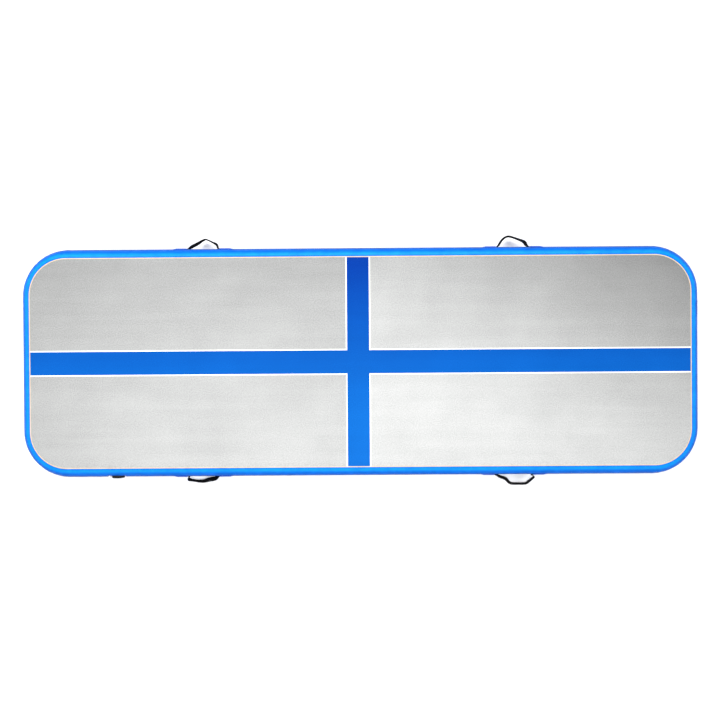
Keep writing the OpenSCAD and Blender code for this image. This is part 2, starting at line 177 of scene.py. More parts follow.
def in_corner(run_at):
    """1 in a corner, falling to 0 a hand's width along the straight."""
    away = np.min([np.abs((run_at - m + RUN / 2) % RUN - RUN / 2) for m in corner_middles], axis=0)
    return 1 - smooth(CORNER_RUN * 0.42, CORNER_RUN * 0.85, away)


def pucker(run_at, phi):
    """How far the wall stands out or in, by place round the edge and angle from the top of its arc."""
    near_seam = np.minimum(phi, math.pi - phi)
    depth = smooth(math.radians(6), math.radians(24), near_seam) * (1 - 0.75 * smooth(0.6, 1.3, near_seam))
    wave = sum(np.cos(math.tau * k * run_at / RUN + p + q * phi) for k, p, q in PUCKERS) / 5.2
    swell = sum(np.cos(math.tau * k * run_at / RUN + p) for k, p in SWELLS) / 3.5
    return depth * (wave * (PUCKER_DEPTH + PUCKER_IN_CORNER * in_corner(run_at)) + SWELL_DEPTH * swell)


# The flat's plane, and the stretches to the valve's left and right over which it fades in and out.
FLAT_Y = CENTRE_Y + WALL_R - 8 * MM
FLAT_SOFTNESS = 1.2 * MM
FLAT_LEFT, FLAT_RIGHT = (-47 * MM, -38.5 * MM), (31.5 * MM, 39 * MM)


def flattened(radius, run_at, phi):
    """The wall's radius with the flat at the valve drawn in, which reaches further on the tether's side."""
    x = run_at - side_start["front"] - STRAIGHT_X - VALVE_X
    share = smooth(*FLAT_LEFT, x) * (1 - smooth(*FLAT_RIGHT, x))
    plane = (FLAT_Y - CENTRE_Y - (WALL_R - radius)) / np.maximum(np.sin(phi), 0.2)
    rounding = FLAT_SOFTNESS * np.exp(-np.abs(radius - plane) / FLAT_SOFTNESS) * 0.5
    lower = np.minimum(radius, plane) - rounding
    return radius + (np.minimum(lower, radius) - radius) * share


def wall_point(base, outward, run_at, phi, radius):
    """Points on the wall for arrays of stations, angles and radii."""
    r = flattened(radius + pucker(run_at, phi), run_at, phi)
    rho = TURN_R + r * np.sin(phi)
    return np.stack([base[..., 0] + outward[..., 0] * rho, base[..., 1] + outward[..., 1] * rho,
                     MID + r * np.cos(phi)], axis=-1)


print("deepest pucker", round(float(np.abs(pucker(station_run, 0.5)).max() / MM), 2), "mm")

# %% [markdown]
# ## Cloth as a closed shell
# A strip of cloth has two sides and an edge. A Solidify modifier could give a surface its thickness, but the
# layers here meet exactly, so each piece is made from its two sides, as points, with the edge closed
# between them. That also closes the edge of a hole. The faces have to point outwards, which the shell's
# volume tells: it is negative when they point in.

# %% Meshes
def add_object(name, data):
    """Puts a mesh, light or camera in the scene."""
    thing = bpy.data.objects.new(name, data)
    bpy.context.scene.collection.objects.link(thing)
    return thing


def make_mesh(name, points, faces, uv=None):
    """A smooth piece with crisp edges, from points, faces and, where it has one, a flat map of its points."""
    mesh = bpy.data.meshes.new(name)
    mesh.from_pydata(np.asarray(points).tolist(), [], faces)
    if uv is not None:
        layer = mesh.uv_layers.new(name="Cloth")
        corners = np.zeros(len(mesh.loops), np.int32)
        mesh.loops.foreach_get("vertex_index", corners)
        layer.data.foreach_set("uv", np.asarray(uv, np.float32)[corners].ravel())
    mesh.validate()
    mesh.shade_smooth()
    mesh.set_sharp_from_angle(angle=math.radians(42))
    return add_object(name, mesh)


def volume(points, faces):
    """The volume that closed faces hold, which is negative when they point inwards."""
    total = 0.0
    for f in faces:
        for i in range(1, len(f) - 1):
            a, b, c = points[f[0]], points[f[i]], points[f[i + 1]]
            total += a[0] * (b[1] * c[2] - b[2] * c[1]) - a[1] * (b[0] * c[2] - b[2] * c[0]) \
                + a[2] * (b[0] * c[1] - b[1] * c[0])
    return total / 6


# %% Shells
def closed_shell(outer, inner, faces):
    """The points and faces of a closed shell between two sides of cloth that have the same faces."""
    outer, inner = np.asarray(outer).reshape(-1, 3), np.asarray(inner).reshape(-1, 3)
    once = [[a for i, a in enumerate(f) if a != f[i - 1]] for f in faces]
    faces = [f for f in once if len(f) > 2]
    used, flat = np.unique(np.concatenate([np.array(f) for f in faces]), return_inverse=True)
    ends = np.cumsum([len(f) for f in faces])
    faces = [part.tolist() for part in np.split(flat, ends[:-1])]
    outer, inner, n = outer[used], inner[used], len(used)
    edges = {(a, b) for f in faces for a, b in zip(f, f[1:] + f[:1])}
    open_edges = sorted((a, b) for a, b in edges if (b, a) not in edges)
    closed = faces + [[a + n for a in reversed(f)] for f in faces] \
        + [[b, a, a + n, b + n] for a, b in open_edges]
    points = np.concatenate([outer, inner])
    if volume(points.tolist(), closed) < 0:
        closed = [f[::-1] for f in closed]
    return points, closed


ARC = "down_the_arc"


def mark_arc(piece):
    """Notes at each point how far down the wall's arc it lies: 0 at the seam with a face, 1 halfway down."""
    points = np.array([v.co[:] for v in piece.data.vertices])
    turn = np.arctan2(edge_distance(points) - TURN_R, np.abs(points[:, 2] - MID))
    piece.data.attributes.new(ARC, "FLOAT", "POINT").data.foreach_set("value", turn / (math.pi / 2))


def shells(name, *parts):
    """One piece from closed shells, each given as its two sides and their faces."""
    points, faces = [], []
    for part in parts:
        p, f = closed_shell(*part)
        start = sum(len(q) for q in points)
        points.append(p)
        faces += [[a + start for a in face] for face in f]
    piece = make_mesh(name, np.concatenate(points), faces)
    print(f"{name}: {len(faces)} faces in {len(parts)} closed shells")
    return piece


def strip_faces(rows, columns, ring=False):
    """The faces of a grid of points, closed round its rows if it is a ring."""
    numbers = np.arange(rows * columns).reshape(rows, columns)
    after = np.roll(numbers, -1, axis=0) if ring else numbers[1:]
    before = numbers if ring else numbers[:-1]
    faces = np.stack([before[:, :-1], after[:, :-1], after[:, 1:], before[:, 1:]], axis=-1)
    return faces.reshape(-1, 4).tolist()


def tube_faces(rings, sides):
    """The faces of a closed tube of points: its sides between one ring and the next, and its two ends."""
    faces = []
    for low in range(0, (rings - 1) * sides, sides):
        for j in range(sides):
            after = (j + 1) % sides
            faces.append([low + j, low + after, low + sides + after, low + sides + j])
    last = (rings - 1) * sides
    return faces + [list(range(sides))[::-1], list(range(last, last + sides))]


def solid_piece(name, *parts, uv=None):
    """One piece from closed point and face lists, each turned to face outwards."""
    points, faces = [], []
    for p, f in parts:
        if volume(p, f) < 0:
            f = [face[::-1] for face in f]
        faces += [[a + len(points) for a in face] for face in f]
        points += p
    return make_mesh(name, points, faces, uv)


# %% [markdown]
# ## Deck, underside and printed stripes
# A face of the mat lies flat over the yarns, and rolls over into the wall near the edge. The rim's rings
# follow that profile. A stripe is printed on the same cloth, a fraction of a millimetre thick, so it uses
# the deck's own faces between the stripe's lines. It follows the deck exactly and has a crisp edge.

# %% The faces' grid
FIRST_RING, RING_STEP, ROLL_STEP = 18 * MM, 18.5 * MM, 4 * MM
RINGS = [("flat", r) for r in [*np.arange(FIRST_RING, FLAT_EDGE, RING_STEP), FLAT_EDGE]] \
    + [("flat", FLAT_EDGE + i * ROLL_STEP) for i in range(1, 4)] \
    + [("arc", a) for a in (0.0, LIP / 2, LIP, math.radians(7), TAPE_START, math.radians(14),
                            math.radians(20), math.radians(25), FACE_LAP)]
LIP_RING = next(i for i, (kind, a) in enumerate(RINGS) if kind == "arc" and a == LIP)


def face_points(lift):
    """The points of a face's layer. lift is its height over the skin's outer side."""
    flat_z, arc_r = HEIGHT - PRINT + lift, WALL_R - 2 * CLOTH + lift
    gx, gy = np.meshgrid(xs, ys, indexing="ij")
    points = [np.stack([gx, gy, np.full_like(gx, flat_z)], axis=-1).reshape(-1, 3)]
    for kind, at in RINGS:
        if kind == "flat":
            rho = np.full(len(stations), at)
            z = flat_z + (MID + arc_r - flat_z) * smooth(FLAT_EDGE, TURN_R, rho)
            points.append(np.stack([stations[:, 0] + stations[:, 2] * rho,
                                    stations[:, 1] + stations[:, 3] * rho, z], axis=-1))
        else:
            phi = np.full(len(stations), at)
            points.append(wall_point(stations[:, :2], stations[:, 2:], station_run, phi, arc_r))
    return np.concatenate(points)


number_of = {(round(x, 6), round(y, 6)): i * len(ys) + j for i, x in enumerate(xs) for j, y in enumerate(ys)}
previous = [number_of[round(x, 6), round(y, 6)] for x, y in stations[:, :2]]
face_grid = [(f, -1) for f in strip_faces(len(xs), len(ys))]
for k in range(len(RINGS)):
    ring = [len(xs) * len(ys) + k * len(stations) + i for i in range(len(stations))]
    for i in range(len(stations)):
        j = (i + 1) % len(stations)
        face_grid.append(([previous[i], ring[i], ring[j], previous[j]], k))
    previous = ring
all_faces = [f for f, _ in face_grid]
skin_out, skin_in, print_out = face_points(0.0), face_points(-CLOTH), face_points(PRINT)
print(len(all_faces), "faces on each side of the mat")

# %% Deck and underside
TURN_OVER = np.array([1.0, 1.0, -1.0])


def turned_over(points):
    """The same points on the other side of the mat's middle plane, with the flat lowered on to the ground."""
    low = points * TURN_OVER + np.array([0, 0, HEIGHT])
    low[:, 2] -= PRINT * (1 - smooth(FLAT_EDGE, TURN_R, edge_distance(points)))
    return low


def edge_distance(points):
    """How far points lie outside the inner rectangle."""
    out = np.maximum(np.abs(points[:, :2]) - np.array([STRAIGHT_X, STRAIGHT_Y]), 0)
    return np.hypot(out[:, 0], out[:, 1])


deck = shells("deck", (skin_out, skin_in, all_faces))
underside = shells("underside", (turned_over(skin_out), turned_over(skin_in), all_faces))

# %% Printed stripes
centres = np.array([skin_out[f].mean(axis=0) for f in all_faces])
printable = np.array([k <= LIP_RING for _, k in face_grid])
cx, cy = centres[:, 0], centres[:, 1]
in_long = (cy > stripe_low.y) & (cy < stripe_high.y)
in_cross = (cx > cross_low.x) & (cx < cross_high.x)
wide_long = (cy > stripe_low.y - PINSTRIPE) & (cy < stripe_high.y + PINSTRIPE)
wide_cross = (cx > cross_low.x - PINSTRIPE) & (cx < cross_high.x + PINSTRIPE)


def printed(name, where):
    """A print's piece, from the faces of the deck where it lies."""
    faces = [f for f, chosen in zip(all_faces, where & printable) if chosen]
    return shells(name, (print_out, skin_out, faces))


long_stripe = printed("long_stripe_print", in_long)
cross_stripes = printed("cross_stripe_print", in_cross & ~in_long)
pinstripes = printed("pinstripe_print", (wide_long | wide_cross) & ~in_long & ~in_cross)

# %% [markdown]
# ## The side wall and its tapes
# Two strips of coated cloth make the wall, one inside the other. The inner one's edge shows as a thin light
# line round the deck. The outer one is blue, and a tape is welded over each of its edges. All are strips
# swept round the stations, and the valve's hole is cut by leaving out the faces under its flange.

# %% Strips round the wall
HOLE_R = 21 * MM


def past_hole(points, faces, radius):
    """The faces that lie further than a radius from the valve's axis."""
    away = np.hypot(points[:, 0] - VALVE_X, points[:, 2] - MID) + (points[:, 1] > 0)
    return [f for f in faces if away[f].mean() > radius]


def wall_strip(name, phis, radii, thickness, hole=False):
    """A closed strip round the whole wall, through the given angles and radii of its outer side."""
    phi, radius = np.meshgrid(phis, np.ones(len(stations)))[0], np.tile(radii, (len(stations), 1))
    base, outward = stations[:, None, :2], stations[:, None, 2:]
    run_at = np.repeat(station_run[:, None], len(phis), axis=1)
    outer = wall_point(base, outward, run_at, phi, radius).reshape(-1, 3)
    inner = wall_point(base, outward, run_at, phi, radius - thickness).reshape(-1, 3)
    faces = strip_faces(len(stations), len(phis), ring=True)
    if hole:
        faces = past_hole(outer, faces, HOLE_R)
    strip = shells(name, (outer, inner, faces))
    mark_arc(strip)
    return strip


def both_ways(angles):
    """Angles from the top seam down to the middle, and the same ones up from the bottom seam."""
    return np.unique(np.round([*angles, *[math.pi - a for a in angles]], 6))


inner_angles = both_ways([LIP, math.radians(7), TAPE_START, *np.radians(np.arange(15, 91, 7.5))])
outer_angles = both_ways([OUTER_START, *np.radians(np.arange(16, 91, 3.7)), math.pi / 2])
inner_radii, outer_radii = np.full(len(inner_angles), WALL_R - CLOTH), np.full(len(outer_angles), WALL_R)
inner_wall = wall_strip("inner_wall_cloth", inner_angles, inner_radii, CLOTH, hole=True)
outer_wall = wall_strip("outer_wall_cloth", outer_angles, outer_radii, CLOTH, hole=True)

tape_angles = np.radians([9.2, 9.9, 10.6, 11.3, 12, 13, 16, 20, 24, 28, 32, 35, 37, 38])
tape_radii = WALL_R - CLOTH + TAPE + CLOTH * smooth(math.radians(10.2), math.radians(12), tape_angles)
top_tape = wall_strip("top_tape", tape_angles, tape_radii, TAPE)
bottom_tape = wall_strip("bottom_tape", math.pi - tape_angles[::-1], tape_radii[::-1], TAPE)

# %% [markdown]
# ## Pieces fixed on the wall
# The strip that laps the wall's two ends, the patches over the handles' webbing and the patch behind the
# valve all lie on the wall. Each is a small grid in two measures, along the wall and down its arc, laid on
# the wall at a height. Rows near its ends are shorter, which rounds its corners as a cut patch's are.

# %% A place on the wall
def on_wall(side, along, phi, height):
    """Points at a height over the outer wall, along one side and at angles from its top."""
    along, phi, height = np.broadcast_arrays(along, phi, np.asarray(height, float))
    sign = {"front": 1, "right": 1, "rear": -1, "left": -1}[side]
    half = STRAIGHT_X if side in ("front", "rear") else STRAIGHT_Y
    run_at = side_start[side] + half + sign * along
    base, outward = {
        "front": ((along, np.full_like(along, -STRAIGHT_Y)), (0.0, -1.0)),
        "rear": ((along, np.full_like(along, STRAIGHT_Y)), (0.0, 1.0)),
        "right": ((np.full_like(along, STRAIGHT_X), along), (1.0, 0.0)),
        "left": ((np.full_like(along, -STRAIGHT_X), along), (-1.0, 0.0)),
    }[side]
    outward = np.broadcast_to(np.array(outward), (*along.shape, 2))
    return wall_point(np.stack(base, axis=-1), outward, run_at, phi, WALL_R + height)


def patch_grid(half_length, half_width, corner, columns, rows):
    """Even rows of even points over a rectangle with rounded corners: along it, and across it."""
    turn = np.linspace(0, math.pi / 2, 6)
    end_rows = half_width - corner * (1 - np.sin(turn))
    v = np.unique(np.round([*np.linspace(-end_rows[0], end_rows[0], rows), *end_rows, *-end_rows], 7))
    past = np.maximum(np.abs(v) - (half_width - corner), 0)
    reach = half_length - corner + np.sqrt(np.maximum(corner ** 2 - past ** 2, 0))
    u = np.linspace(-1, 1, columns)[:, None] * reach[None, :]
    return u, np.broadcast_to(v[None, :], u.shape)


def patch_sides(side, along, v, outer_height, inner_height, hole=None):
    """The two sides and the faces of a patch on the wall, from places along it and down its arc."""
    phi = math.pi / 2 - v / WALL_R
    outer = on_wall(side, along, phi, outer_height).reshape(-1, 3)
    inner = on_wall(side, along, phi, inner_height).reshape(-1, 3)
    faces = strip_faces(*v.shape)
    if hole:
        faces = past_hole(outer, faces, hole)
    return outer, inner, faces


# %% Wall splice and valve patch
splice_low, splice_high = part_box("wall_splice")
splice_half = (math.pi / 2 - TAPE_END) * WALL_R
splice_middle = (splice_low.y + splice_high.y) / 2
u, v = patch_grid((splice_high.y - splice_low.y) / 2, splice_half, corner=2 * MM, columns=12, rows=26)
splice = shells("wall_splice_strip", patch_sides("right", splice_middle + u, v, TAPE, 0.0))

valve_patch_low, valve_patch_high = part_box("valve_patch")
u, v = patch_grid((valve_patch_high.x - valve_patch_low.x) / 2, (valve_patch_high.z - valve_patch_low.z) / 2,
                  corner=7 * MM, columns=37, rows=27)
VALVE_PATCH_T = 0.8 * MM
valve_patch = shells("valve_patch_cloth",
                     patch_sides("front", VALVE_X + u, v, VALVE_PATCH_T, 0.0, hole=HOLE_R))

# %% [markdown]
# ## Handles
# A handle is one length of webbing. Each end lies flat on the wall, sewn under a patch, and the middle stands
# out as a loop that droops by its own weight and twists as it pleases. Webbing can't be cloth-simulated here,
# because so thin a strap is lost in a remesh. It is drawn by its line instead: points in order, with how wide
# the webbing looks from above at each, which tells how far its width leans there. Where the strap comes out
# of the patch it is gathered, so it can turn.

# %% The handles' lines
# Each point: along the wall from the handle's middle, out from the wall, and the width of webbing that shows
# from above the deck, all in millimetres. Where the strap is crumpled against the wall, its upper edge's lean
# stands in place of that width: sideways and outwards, as parts of the webbing's height.
WEBBING_W, WEBBING_T = 25 * MM, 1.6 * MM
LAID = WEBBING_T / 2 + 0.05 * MM
HANDLES = {
    "rear_left": dict(sign=1, droop=30, line=[
        (-67, 2.2, 14), (-60, 6.5, 15), (-48, 14, 13.5), (-28, 26, 12.5), (-8, 40, 7.5), (5, 46, 5),
        (22, 40, 4), (40, 30, 4.5), (53, 22.5, 8), (61, 13.5, 12), (66, 4.8, 12)]),
    "rear_right": dict(sign=1, droop=25, line=[
        (-68.5, 2.2, 8), (-62, 9, 8.5), (-53, 21, 8), (-42, 34.5, 7.5), (-28, 45, 7), (-14, 49.4, 6.5),
        (2, 46, 6.5), (22, 38, 7.5), (42, 29.5, 10), (53, 22.5, 14), (60.5, 12, 15.5), (66, 4.4, 14)]),
    "front_left": dict(sign=-1, droop=50, line=[
        (-66.5, 2.2, -0.05, 0), (-70.5, 7.5, -0.12, 0), (-71, 13.5, -0.12, 0.10), (-65, 18.5, -0.10, 0.24),
        (-52, 22.5, 10), (-40, 25, 9.5), (-28, 27, 12), (-13, 27, 15), (3, 23.5, 19), (20, 18.5, 24),
        (38, 15, 26), (52, 11.5, 21), (61, 7.5, 13), (65.5, 3.6, 8)]),
    "front_right": dict(sign=-1, droop=32, line=[
        (-80, 2.2, 9), (-70, 6.5, 10.5), (-56, 12.5, 12), (-39, 19, 12.5), (-28, 26.5, 13.5), (-18, 36.5, 12),
        (-6, 44.4, 9.5), (8, 46.4, 9.5), (28, 47, 9.5), (50, 47.2, 9.5), (63, 44.5, 9.5), (73, 35.5, 9.5),
        (84.5, 24, 0.08, 0.08), (90.5, 16.5, 0.02, 0.02), (91.5, 10.5, 0, 0), (86.5, 6.6, 0, 0),
        (80, 3.4, 0, 0)]),
}
HINGE_OUT = 5 * MM
for name, handle in HANDLES.items():
    joint = next(j for j in frame["joints"] if j["name"] == name + "_lift")
    tails_low, tails_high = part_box(name + "_tails")
    patches_low, patches_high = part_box(name + "_patches")
    handle["middle"] = joint["pos_m"][0]
    handle["tail_end"] = (tails_high.x - tails_low.x) / 2
    handle["patch_end"] = (patches_high.x - patches_low.x) / 2
    print(name, "middle", handle["middle"], "tails end at", round(handle["tail_end"], 4))

# %% How far the webbing leans
# The webbing is looked at from EYE, which is EYE_UP over the handles. A loop lies about HANDLE_Y out from the
# mat's middle, so it is seen a little from the side, and the slant of that view adds to what shows of it.
EYE, EYE_UP = (0.007, 0.0329), 3.44
HANDLE_Y = 0.53


def leans(handle):
    """Each point's place, and the lean of the webbing's upper edge that shows as much of it as it should."""
    line, sign = handle["line"], handle["sign"]
    slant = np.array([handle["middle"] - EYE[0], sign * (sign * HANDLE_Y - EYE[1])]) / EYE_UP
    leaning = []
    for i, (u, v, *given) in enumerate(line):
        if len(given) == 1:
            before, after = line[max(i - 1, 0)], line[min(i + 1, len(line) - 1)]
            square = np.array([before[1] - after[1], after[0] - before[0]]) / math.dist(before[:2], after[:2])
            given = ((given[0] * MM + WEBBING_T) / WEBBING_W - square @ slant) * square
        leaning.append((u * MM, v * MM, *np.round(given, 2).tolist()))
    return leaning


for name, handle in HANDLES.items():
    print(name, "leans out by up to", max(out for *_, out in leans(handle)), "of the webbing's height")


# %% Webbing
# Between PINCH and RELEASE past the patch's mouth the webbing is gathered to GATHERED of its width. The width
# it loses goes into folds, which are as deep as FOLD_SHARE of the height that would take it all up.
MOUTH_IN = 48 * MM
ACROSS, FACE_SHARE, EDGE_SHARE = 11, 0.96, 0.35
GATHERED = 0.58
FOLD_SHARE = 0.62
FOLDS = 1.5
PINCH, RELEASE = (-1 * MM, 6 * MM), (9 * MM, 24 * MM)


def spline(points, spacing):
    """A smooth line through points of any number of measures, sampled evenly by its first three."""
    p = np.array(points, float)
    p = np.vstack([2 * p[0] - p[1], p, 2 * p[-1] - p[-2]])
    fine = []
    for a, b, c, d in zip(p[:-3], p[1:-2], p[2:-1], p[3:]):
        t = np.linspace(0, 1, 24, endpoint=False)[:, None]
        fine.append(0.5 * (2 * b + (c - a) * t + (2 * a - 5 * b + 4 * c - d) * t ** 2
                           + (3 * b - a - 3 * c + d) * t ** 3))
    fine = np.vstack([*fine, p[-2:-1]])
    at = np.concatenate([[0], np.cumsum(np.linalg.norm(np.diff(fine[:, :3], axis=0), axis=1))])
    even = np.linspace(0, at[-1], max(2, round(at[-1] / spacing)) + 1)
    return np.stack([np.interp(even, at, column) for column in fine.T], axis=1), even


def handle_line(handle):
    """The webbing's line as points, the direction of its width, and how much it is cupped and gathered."""
    sign, mid, end = handle["sign"], handle["middle"], handle["tail_end"]
    laid = [(-end, LAID), (-end + MOUTH_IN * 0.5, LAID), (-end + MOUTH_IN, LAID)]
    keys = [(u, v, 0, 0, 1) for u, v in laid]
    keys += [(*key, 0) for key in leans(handle)]
    keys += [(-u, v, 0, 0, 1) for u, v in laid[::-1]]
    rows, slope = [], math.tan(math.radians(handle["droop"]))
    for u, v, side, out, flat in keys:
        drop = max(v - HINGE_OUT, 0) * slope
        rows.append((mid + u, sign * (CENTRE_Y + WALL_R + v), MID - drop, side, sign * out, flat))
    line, at = spline(rows, 2 * MM)
    points, lean, cup = line[:, :3], line[:, 3:5], np.clip(line[:, 5], 0, 1)
    tangent = np.gradient(points, axis=0)
    tangent /= np.linalg.norm(tangent, axis=1)[:, None]
    width = np.column_stack([lean, np.ones(len(lean))])
    width -= (width * tangent).sum(axis=1)[:, None] * tangent
    width /= np.linalg.norm(width, axis=1)[:, None]
    from_mouth = np.minimum(at, at[-1] - at) - MOUTH_IN
    pinched = smooth(*PINCH, from_mouth) * (1 - smooth(*RELEASE, from_mouth))
    return points, tangent, width, at, cup, 1 - (1 - GATHERED) * pinched


def webbing(name, handle):
    """One strap of webbing as a closed mesh, with a map of its length and width for its weave."""
    points, tangent, width, at, cup, gather = handle_line(handle)
    normal = np.cross(tangent, width) * handle["sign"]
    half, edge = WEBBING_W / 2, WEBBING_T / 2
    across = np.linspace(-1, 1, ACROSS)
    section = [(a, 1.0) for a in across * FACE_SHARE] + [(1.0, EDGE_SHARE), (1.0, -EDGE_SHARE)] \
        + [(a, -1.0) for a in across[::-1] * FACE_SHARE] + [(-1.0, -EDGE_SHARE), (-1.0, EDGE_SHARE)]
    verts, uv = [], []
    for i, p in enumerate(points):
        fold_k = FOLDS * math.pi / (half * gather[i])
        fold = FOLD_SHARE * 2 / fold_k * math.sqrt(max(1 / gather[i] - 1, 0))
        for a, b in section:
            out = fold * math.cos(FOLDS * math.pi * a) - cup[i] * (a * half) ** 2 / (2 * WALL_R)
            verts.append((p + width[i] * a * half * gather[i] - normal[i] * (out + b * edge)).tolist())
            uv.append((at[i], a * half))
    strap = solid_piece(name + "_webbing", (verts, tube_faces(len(points), len(section))), uv=uv)
    print(f"{strap.name}: {at[-1]:.3f} m of webbing, {len(strap.data.polygons)} faces")
    return strap


straps = {name: webbing(name, handle) for name, handle in HANDLES.items()}

# %% [markdown]
# ## Handle patches
# The patches are the wall's own blue cloth, cut with round corners and welded on round the webbing, so the
# webbing shows under each as a raised bar that stops short of the far end. The patch is one grid on the
# wall whose height rises over the webbing. Its mouth, where the webbing comes out, stays open.

# %% Handle patches
PATCH_T = 0.9 * MM
PATCH_HALF_WIDTH = math.radians(32) * WALL_R
PATCH_LENGTH = 58 * MM
PATCH_CORNER = 9 * MM
OVER_WEBBING = WEBBING_T + 0.25 * MM
SIDE_SLOPE, END_SLOPE = (12.8 * MM, 17 * MM), (MOUTH_IN, MOUTH_IN + 6 * MM)


def patch_height(from_mouth, v):
    """The height of a handle patch's outer side: its own thickness, and more over the webbing under it."""
    over = (1 - smooth(*SIDE_SLOPE, np.abs(v))) * (1 - smooth(*END_SLOPE, from_mouth))
    return PATCH_T + OVER_WEBBING * over


def on_patch(handle, end, from_mouth):
    """The side of the mat and the place along it for distances from a patch's mouth."""
    side = "rear" if handle["sign"] > 0 else "front"
    return side, handle["middle"] + end * (handle["patch_end"] - PATCH_LENGTH + from_mouth)


def handle_patch(handle, end):
    """The two sides and faces of the patch at one end of a handle."""
    u, v = patch_grid(PATCH_LENGTH / 2, PATCH_HALF_WIDTH, PATCH_CORNER, columns=34, rows=33)
    from_mouth = u + PATCH_LENGTH / 2
    height = patch_height(from_mouth, v)
    return patch_sides(*on_patch(handle, end, from_mouth), v, height, height - PATCH_T)


patches = {name: shells(name + "_patch_pair", handle_patch(handle, -1), handle_patch(handle, 1))
           for name, handle in HANDLES.items()}

# %% [markdown]
# ## Stitching
# A handle carries the weight of the whole mat, so its webbing is sewn to its patch with a box of stitches and
# a cross in it, and the patch has a row of stitches near its edge. Hundreds of equal stitches along lines are
# work for Geometry Nodes: the lines are laid on the patch here, and a node tree puts a stitch at every pitch.

# %% A tree that sews along lines
def add_inputs(tree, inputs):
    """Named inputs of a node tree, after its geometry, and their identifiers."""
    tree.interface.new_socket(name="Geometry", in_out="INPUT", socket_type="NodeSocketGeometry")
    tree.interface.new_socket(name="Geometry", in_out="OUTPUT", socket_type="NodeSocketGeometry")
    return {name: tree.interface.new_socket(name=name, in_out="INPUT", socket_type=kind).identifier
            for name, kind in inputs.items()}


def tree_node(tree, kind, settings=None, inputs=None):
    """A node with its settings, and values or links for its inputs. Returns the node."""
    node = tree.nodes.new(kind)
    for key, value in (settings or {}).items():
        setattr(node, key, value)
    for key, value in (inputs or {}).items():
        socket = node.inputs[key]
        if isinstance(value, bpy.types.NodeSocket):
            tree.links.new(value, socket)
        else:
            socket.default_value = value
    return node


def stitch_tree():
    """A tree that puts a stitch at every pitch along the edges of a piece."""
    tree = bpy.data.node_groups.new("Sew along lines", "GeometryNodeTree")
    ids = add_inputs(tree, {"Pitch": "NodeSocketFloat", "Stitch length": "NodeSocketFloat",
                            "Thread radius": "NodeSocketFloat", "Thread": "NodeSocketMaterial"})
    given = tree.nodes.new("NodeGroupInput").outputs
    line = tree_node(tree, "GeometryNodeMeshToCurve", inputs={"Mesh": given["Geometry"]})
    even = tree_node(tree, "GeometryNodeResampleCurve", {"mode": "LENGTH"},
                     {"Curve": line.outputs[0], "Length": given["Pitch"]})
    tangent = tree_node(tree, "GeometryNodeInputTangent")
    turn = tree_node(tree, "FunctionNodeAlignRotationToVector", {"axis": "X"},
                     {"Vector": tangent.outputs[0]})
    half = tree_node(tree, "ShaderNodeMath", {"operation": "MULTIPLY"}, {0: given["Stitch length"], 1: 0.5})
    size = tree_node(tree, "ShaderNodeCombineXYZ", inputs={
        "X": half.outputs[0], "Y": given["Thread radius"], "Z": given["Thread radius"]})
    shape = tree_node(tree, "GeometryNodeMeshUVSphere", inputs={"Segments": 8, "Rings": 5, "Radius": 1.0})
    placed = tree_node(tree, "GeometryNodeInstanceOnPoints", inputs={
        "Points": even.outputs[0], "Instance": shape.outputs[0], "Rotation": turn.outputs[0],
        "Scale": size.outputs[0]})
    real = tree_node(tree, "GeometryNodeRealizeInstances", inputs={0: placed.outputs[0]})
    smooth_faces = tree_node(tree, "GeometryNodeSetShadeSmooth", inputs={0: real.outputs[0]})
    painted = tree_node(tree, "GeometryNodeSetMaterial", inputs={
        0: smooth_faces.outputs[0], "Material": given["Thread"]})
    tree.links.new(painted.outputs[0], tree.nodes.new("NodeGroupOutput").inputs[0])
    return tree, ids


def grown(name, seed_piece, tree, ids, values):
    """Runs a tree on a piece and keeps the result as a plain mesh piece."""
    modifier = seed_piece.modifiers.new("Grow", "NODES")
    modifier.node_group = tree
    for key, value in values.items():
        modifier[ids[key]] = value
    seed_piece.update_tag()
    bpy.context.view_layer.update()
    made = seed_piece.evaluated_get(bpy.context.evaluated_depsgraph_get())
    mesh = bpy.data.meshes.new_from_object(made)
    mesh.name = name
    piece = add_object(name, mesh)
    seed_piece.modifiers.remove(modifier)
    bpy.data.objects.remove(seed_piece)
    print(f"{name}: {len(mesh.polygons)} faces from a node tree")
    return piece


# %% Lines to sew along
def dense(corners, step=1.2 * MM):
    """Points close together along straight lines between corners."""
    out = []
    for a, b in zip(corners, corners[1:]):
        n = max(1, round(math.dist(a, b) / step))
        out += [(a[0] + (b[0] - a[0]) * i / n, a[1] + (b[1] - a[1]) * i / n) for i in range(n)]
    return out + [corners[-1]]


BOX_NEAR, BOX_FAR, BOX_SIDE = 5 * MM, 45 * MM, 9.8 * MM
RIM_IN, RIM_CUT = 3.6 * MM, 6 * MM
RIM_FAR, RIM_SIDE = PATCH_LENGTH - RIM_IN, PATCH_HALF_WIDTH - RIM_IN
BESIDE_WEBBING = 17.5 * MM
THREAD_UP = 0.15 * MM


def patch_rows():
    """Rows to sew on a patch, from its mouth and its middle: a box with a cross, and a row near the rim."""
    box = [(BOX_NEAR, -BOX_SIDE), (BOX_FAR, -BOX_SIDE), (BOX_FAR, BOX_SIDE), (BOX_NEAR, BOX_SIDE)]
    rows = [[*box, box[0]], [box[0], box[2]], [box[3], box[1]]]
    for s in (-1, 1):
        rows.append([(RIM_IN, s * BESIDE_WEBBING), (RIM_IN, s * (RIM_SIDE - RIM_CUT * 0.5)),
                     (RIM_CUT, s * RIM_SIDE), (RIM_FAR - RIM_CUT, s * RIM_SIDE),
                     (RIM_FAR, s * (RIM_SIDE - RIM_CUT)), (RIM_FAR, 0)])
    return rows


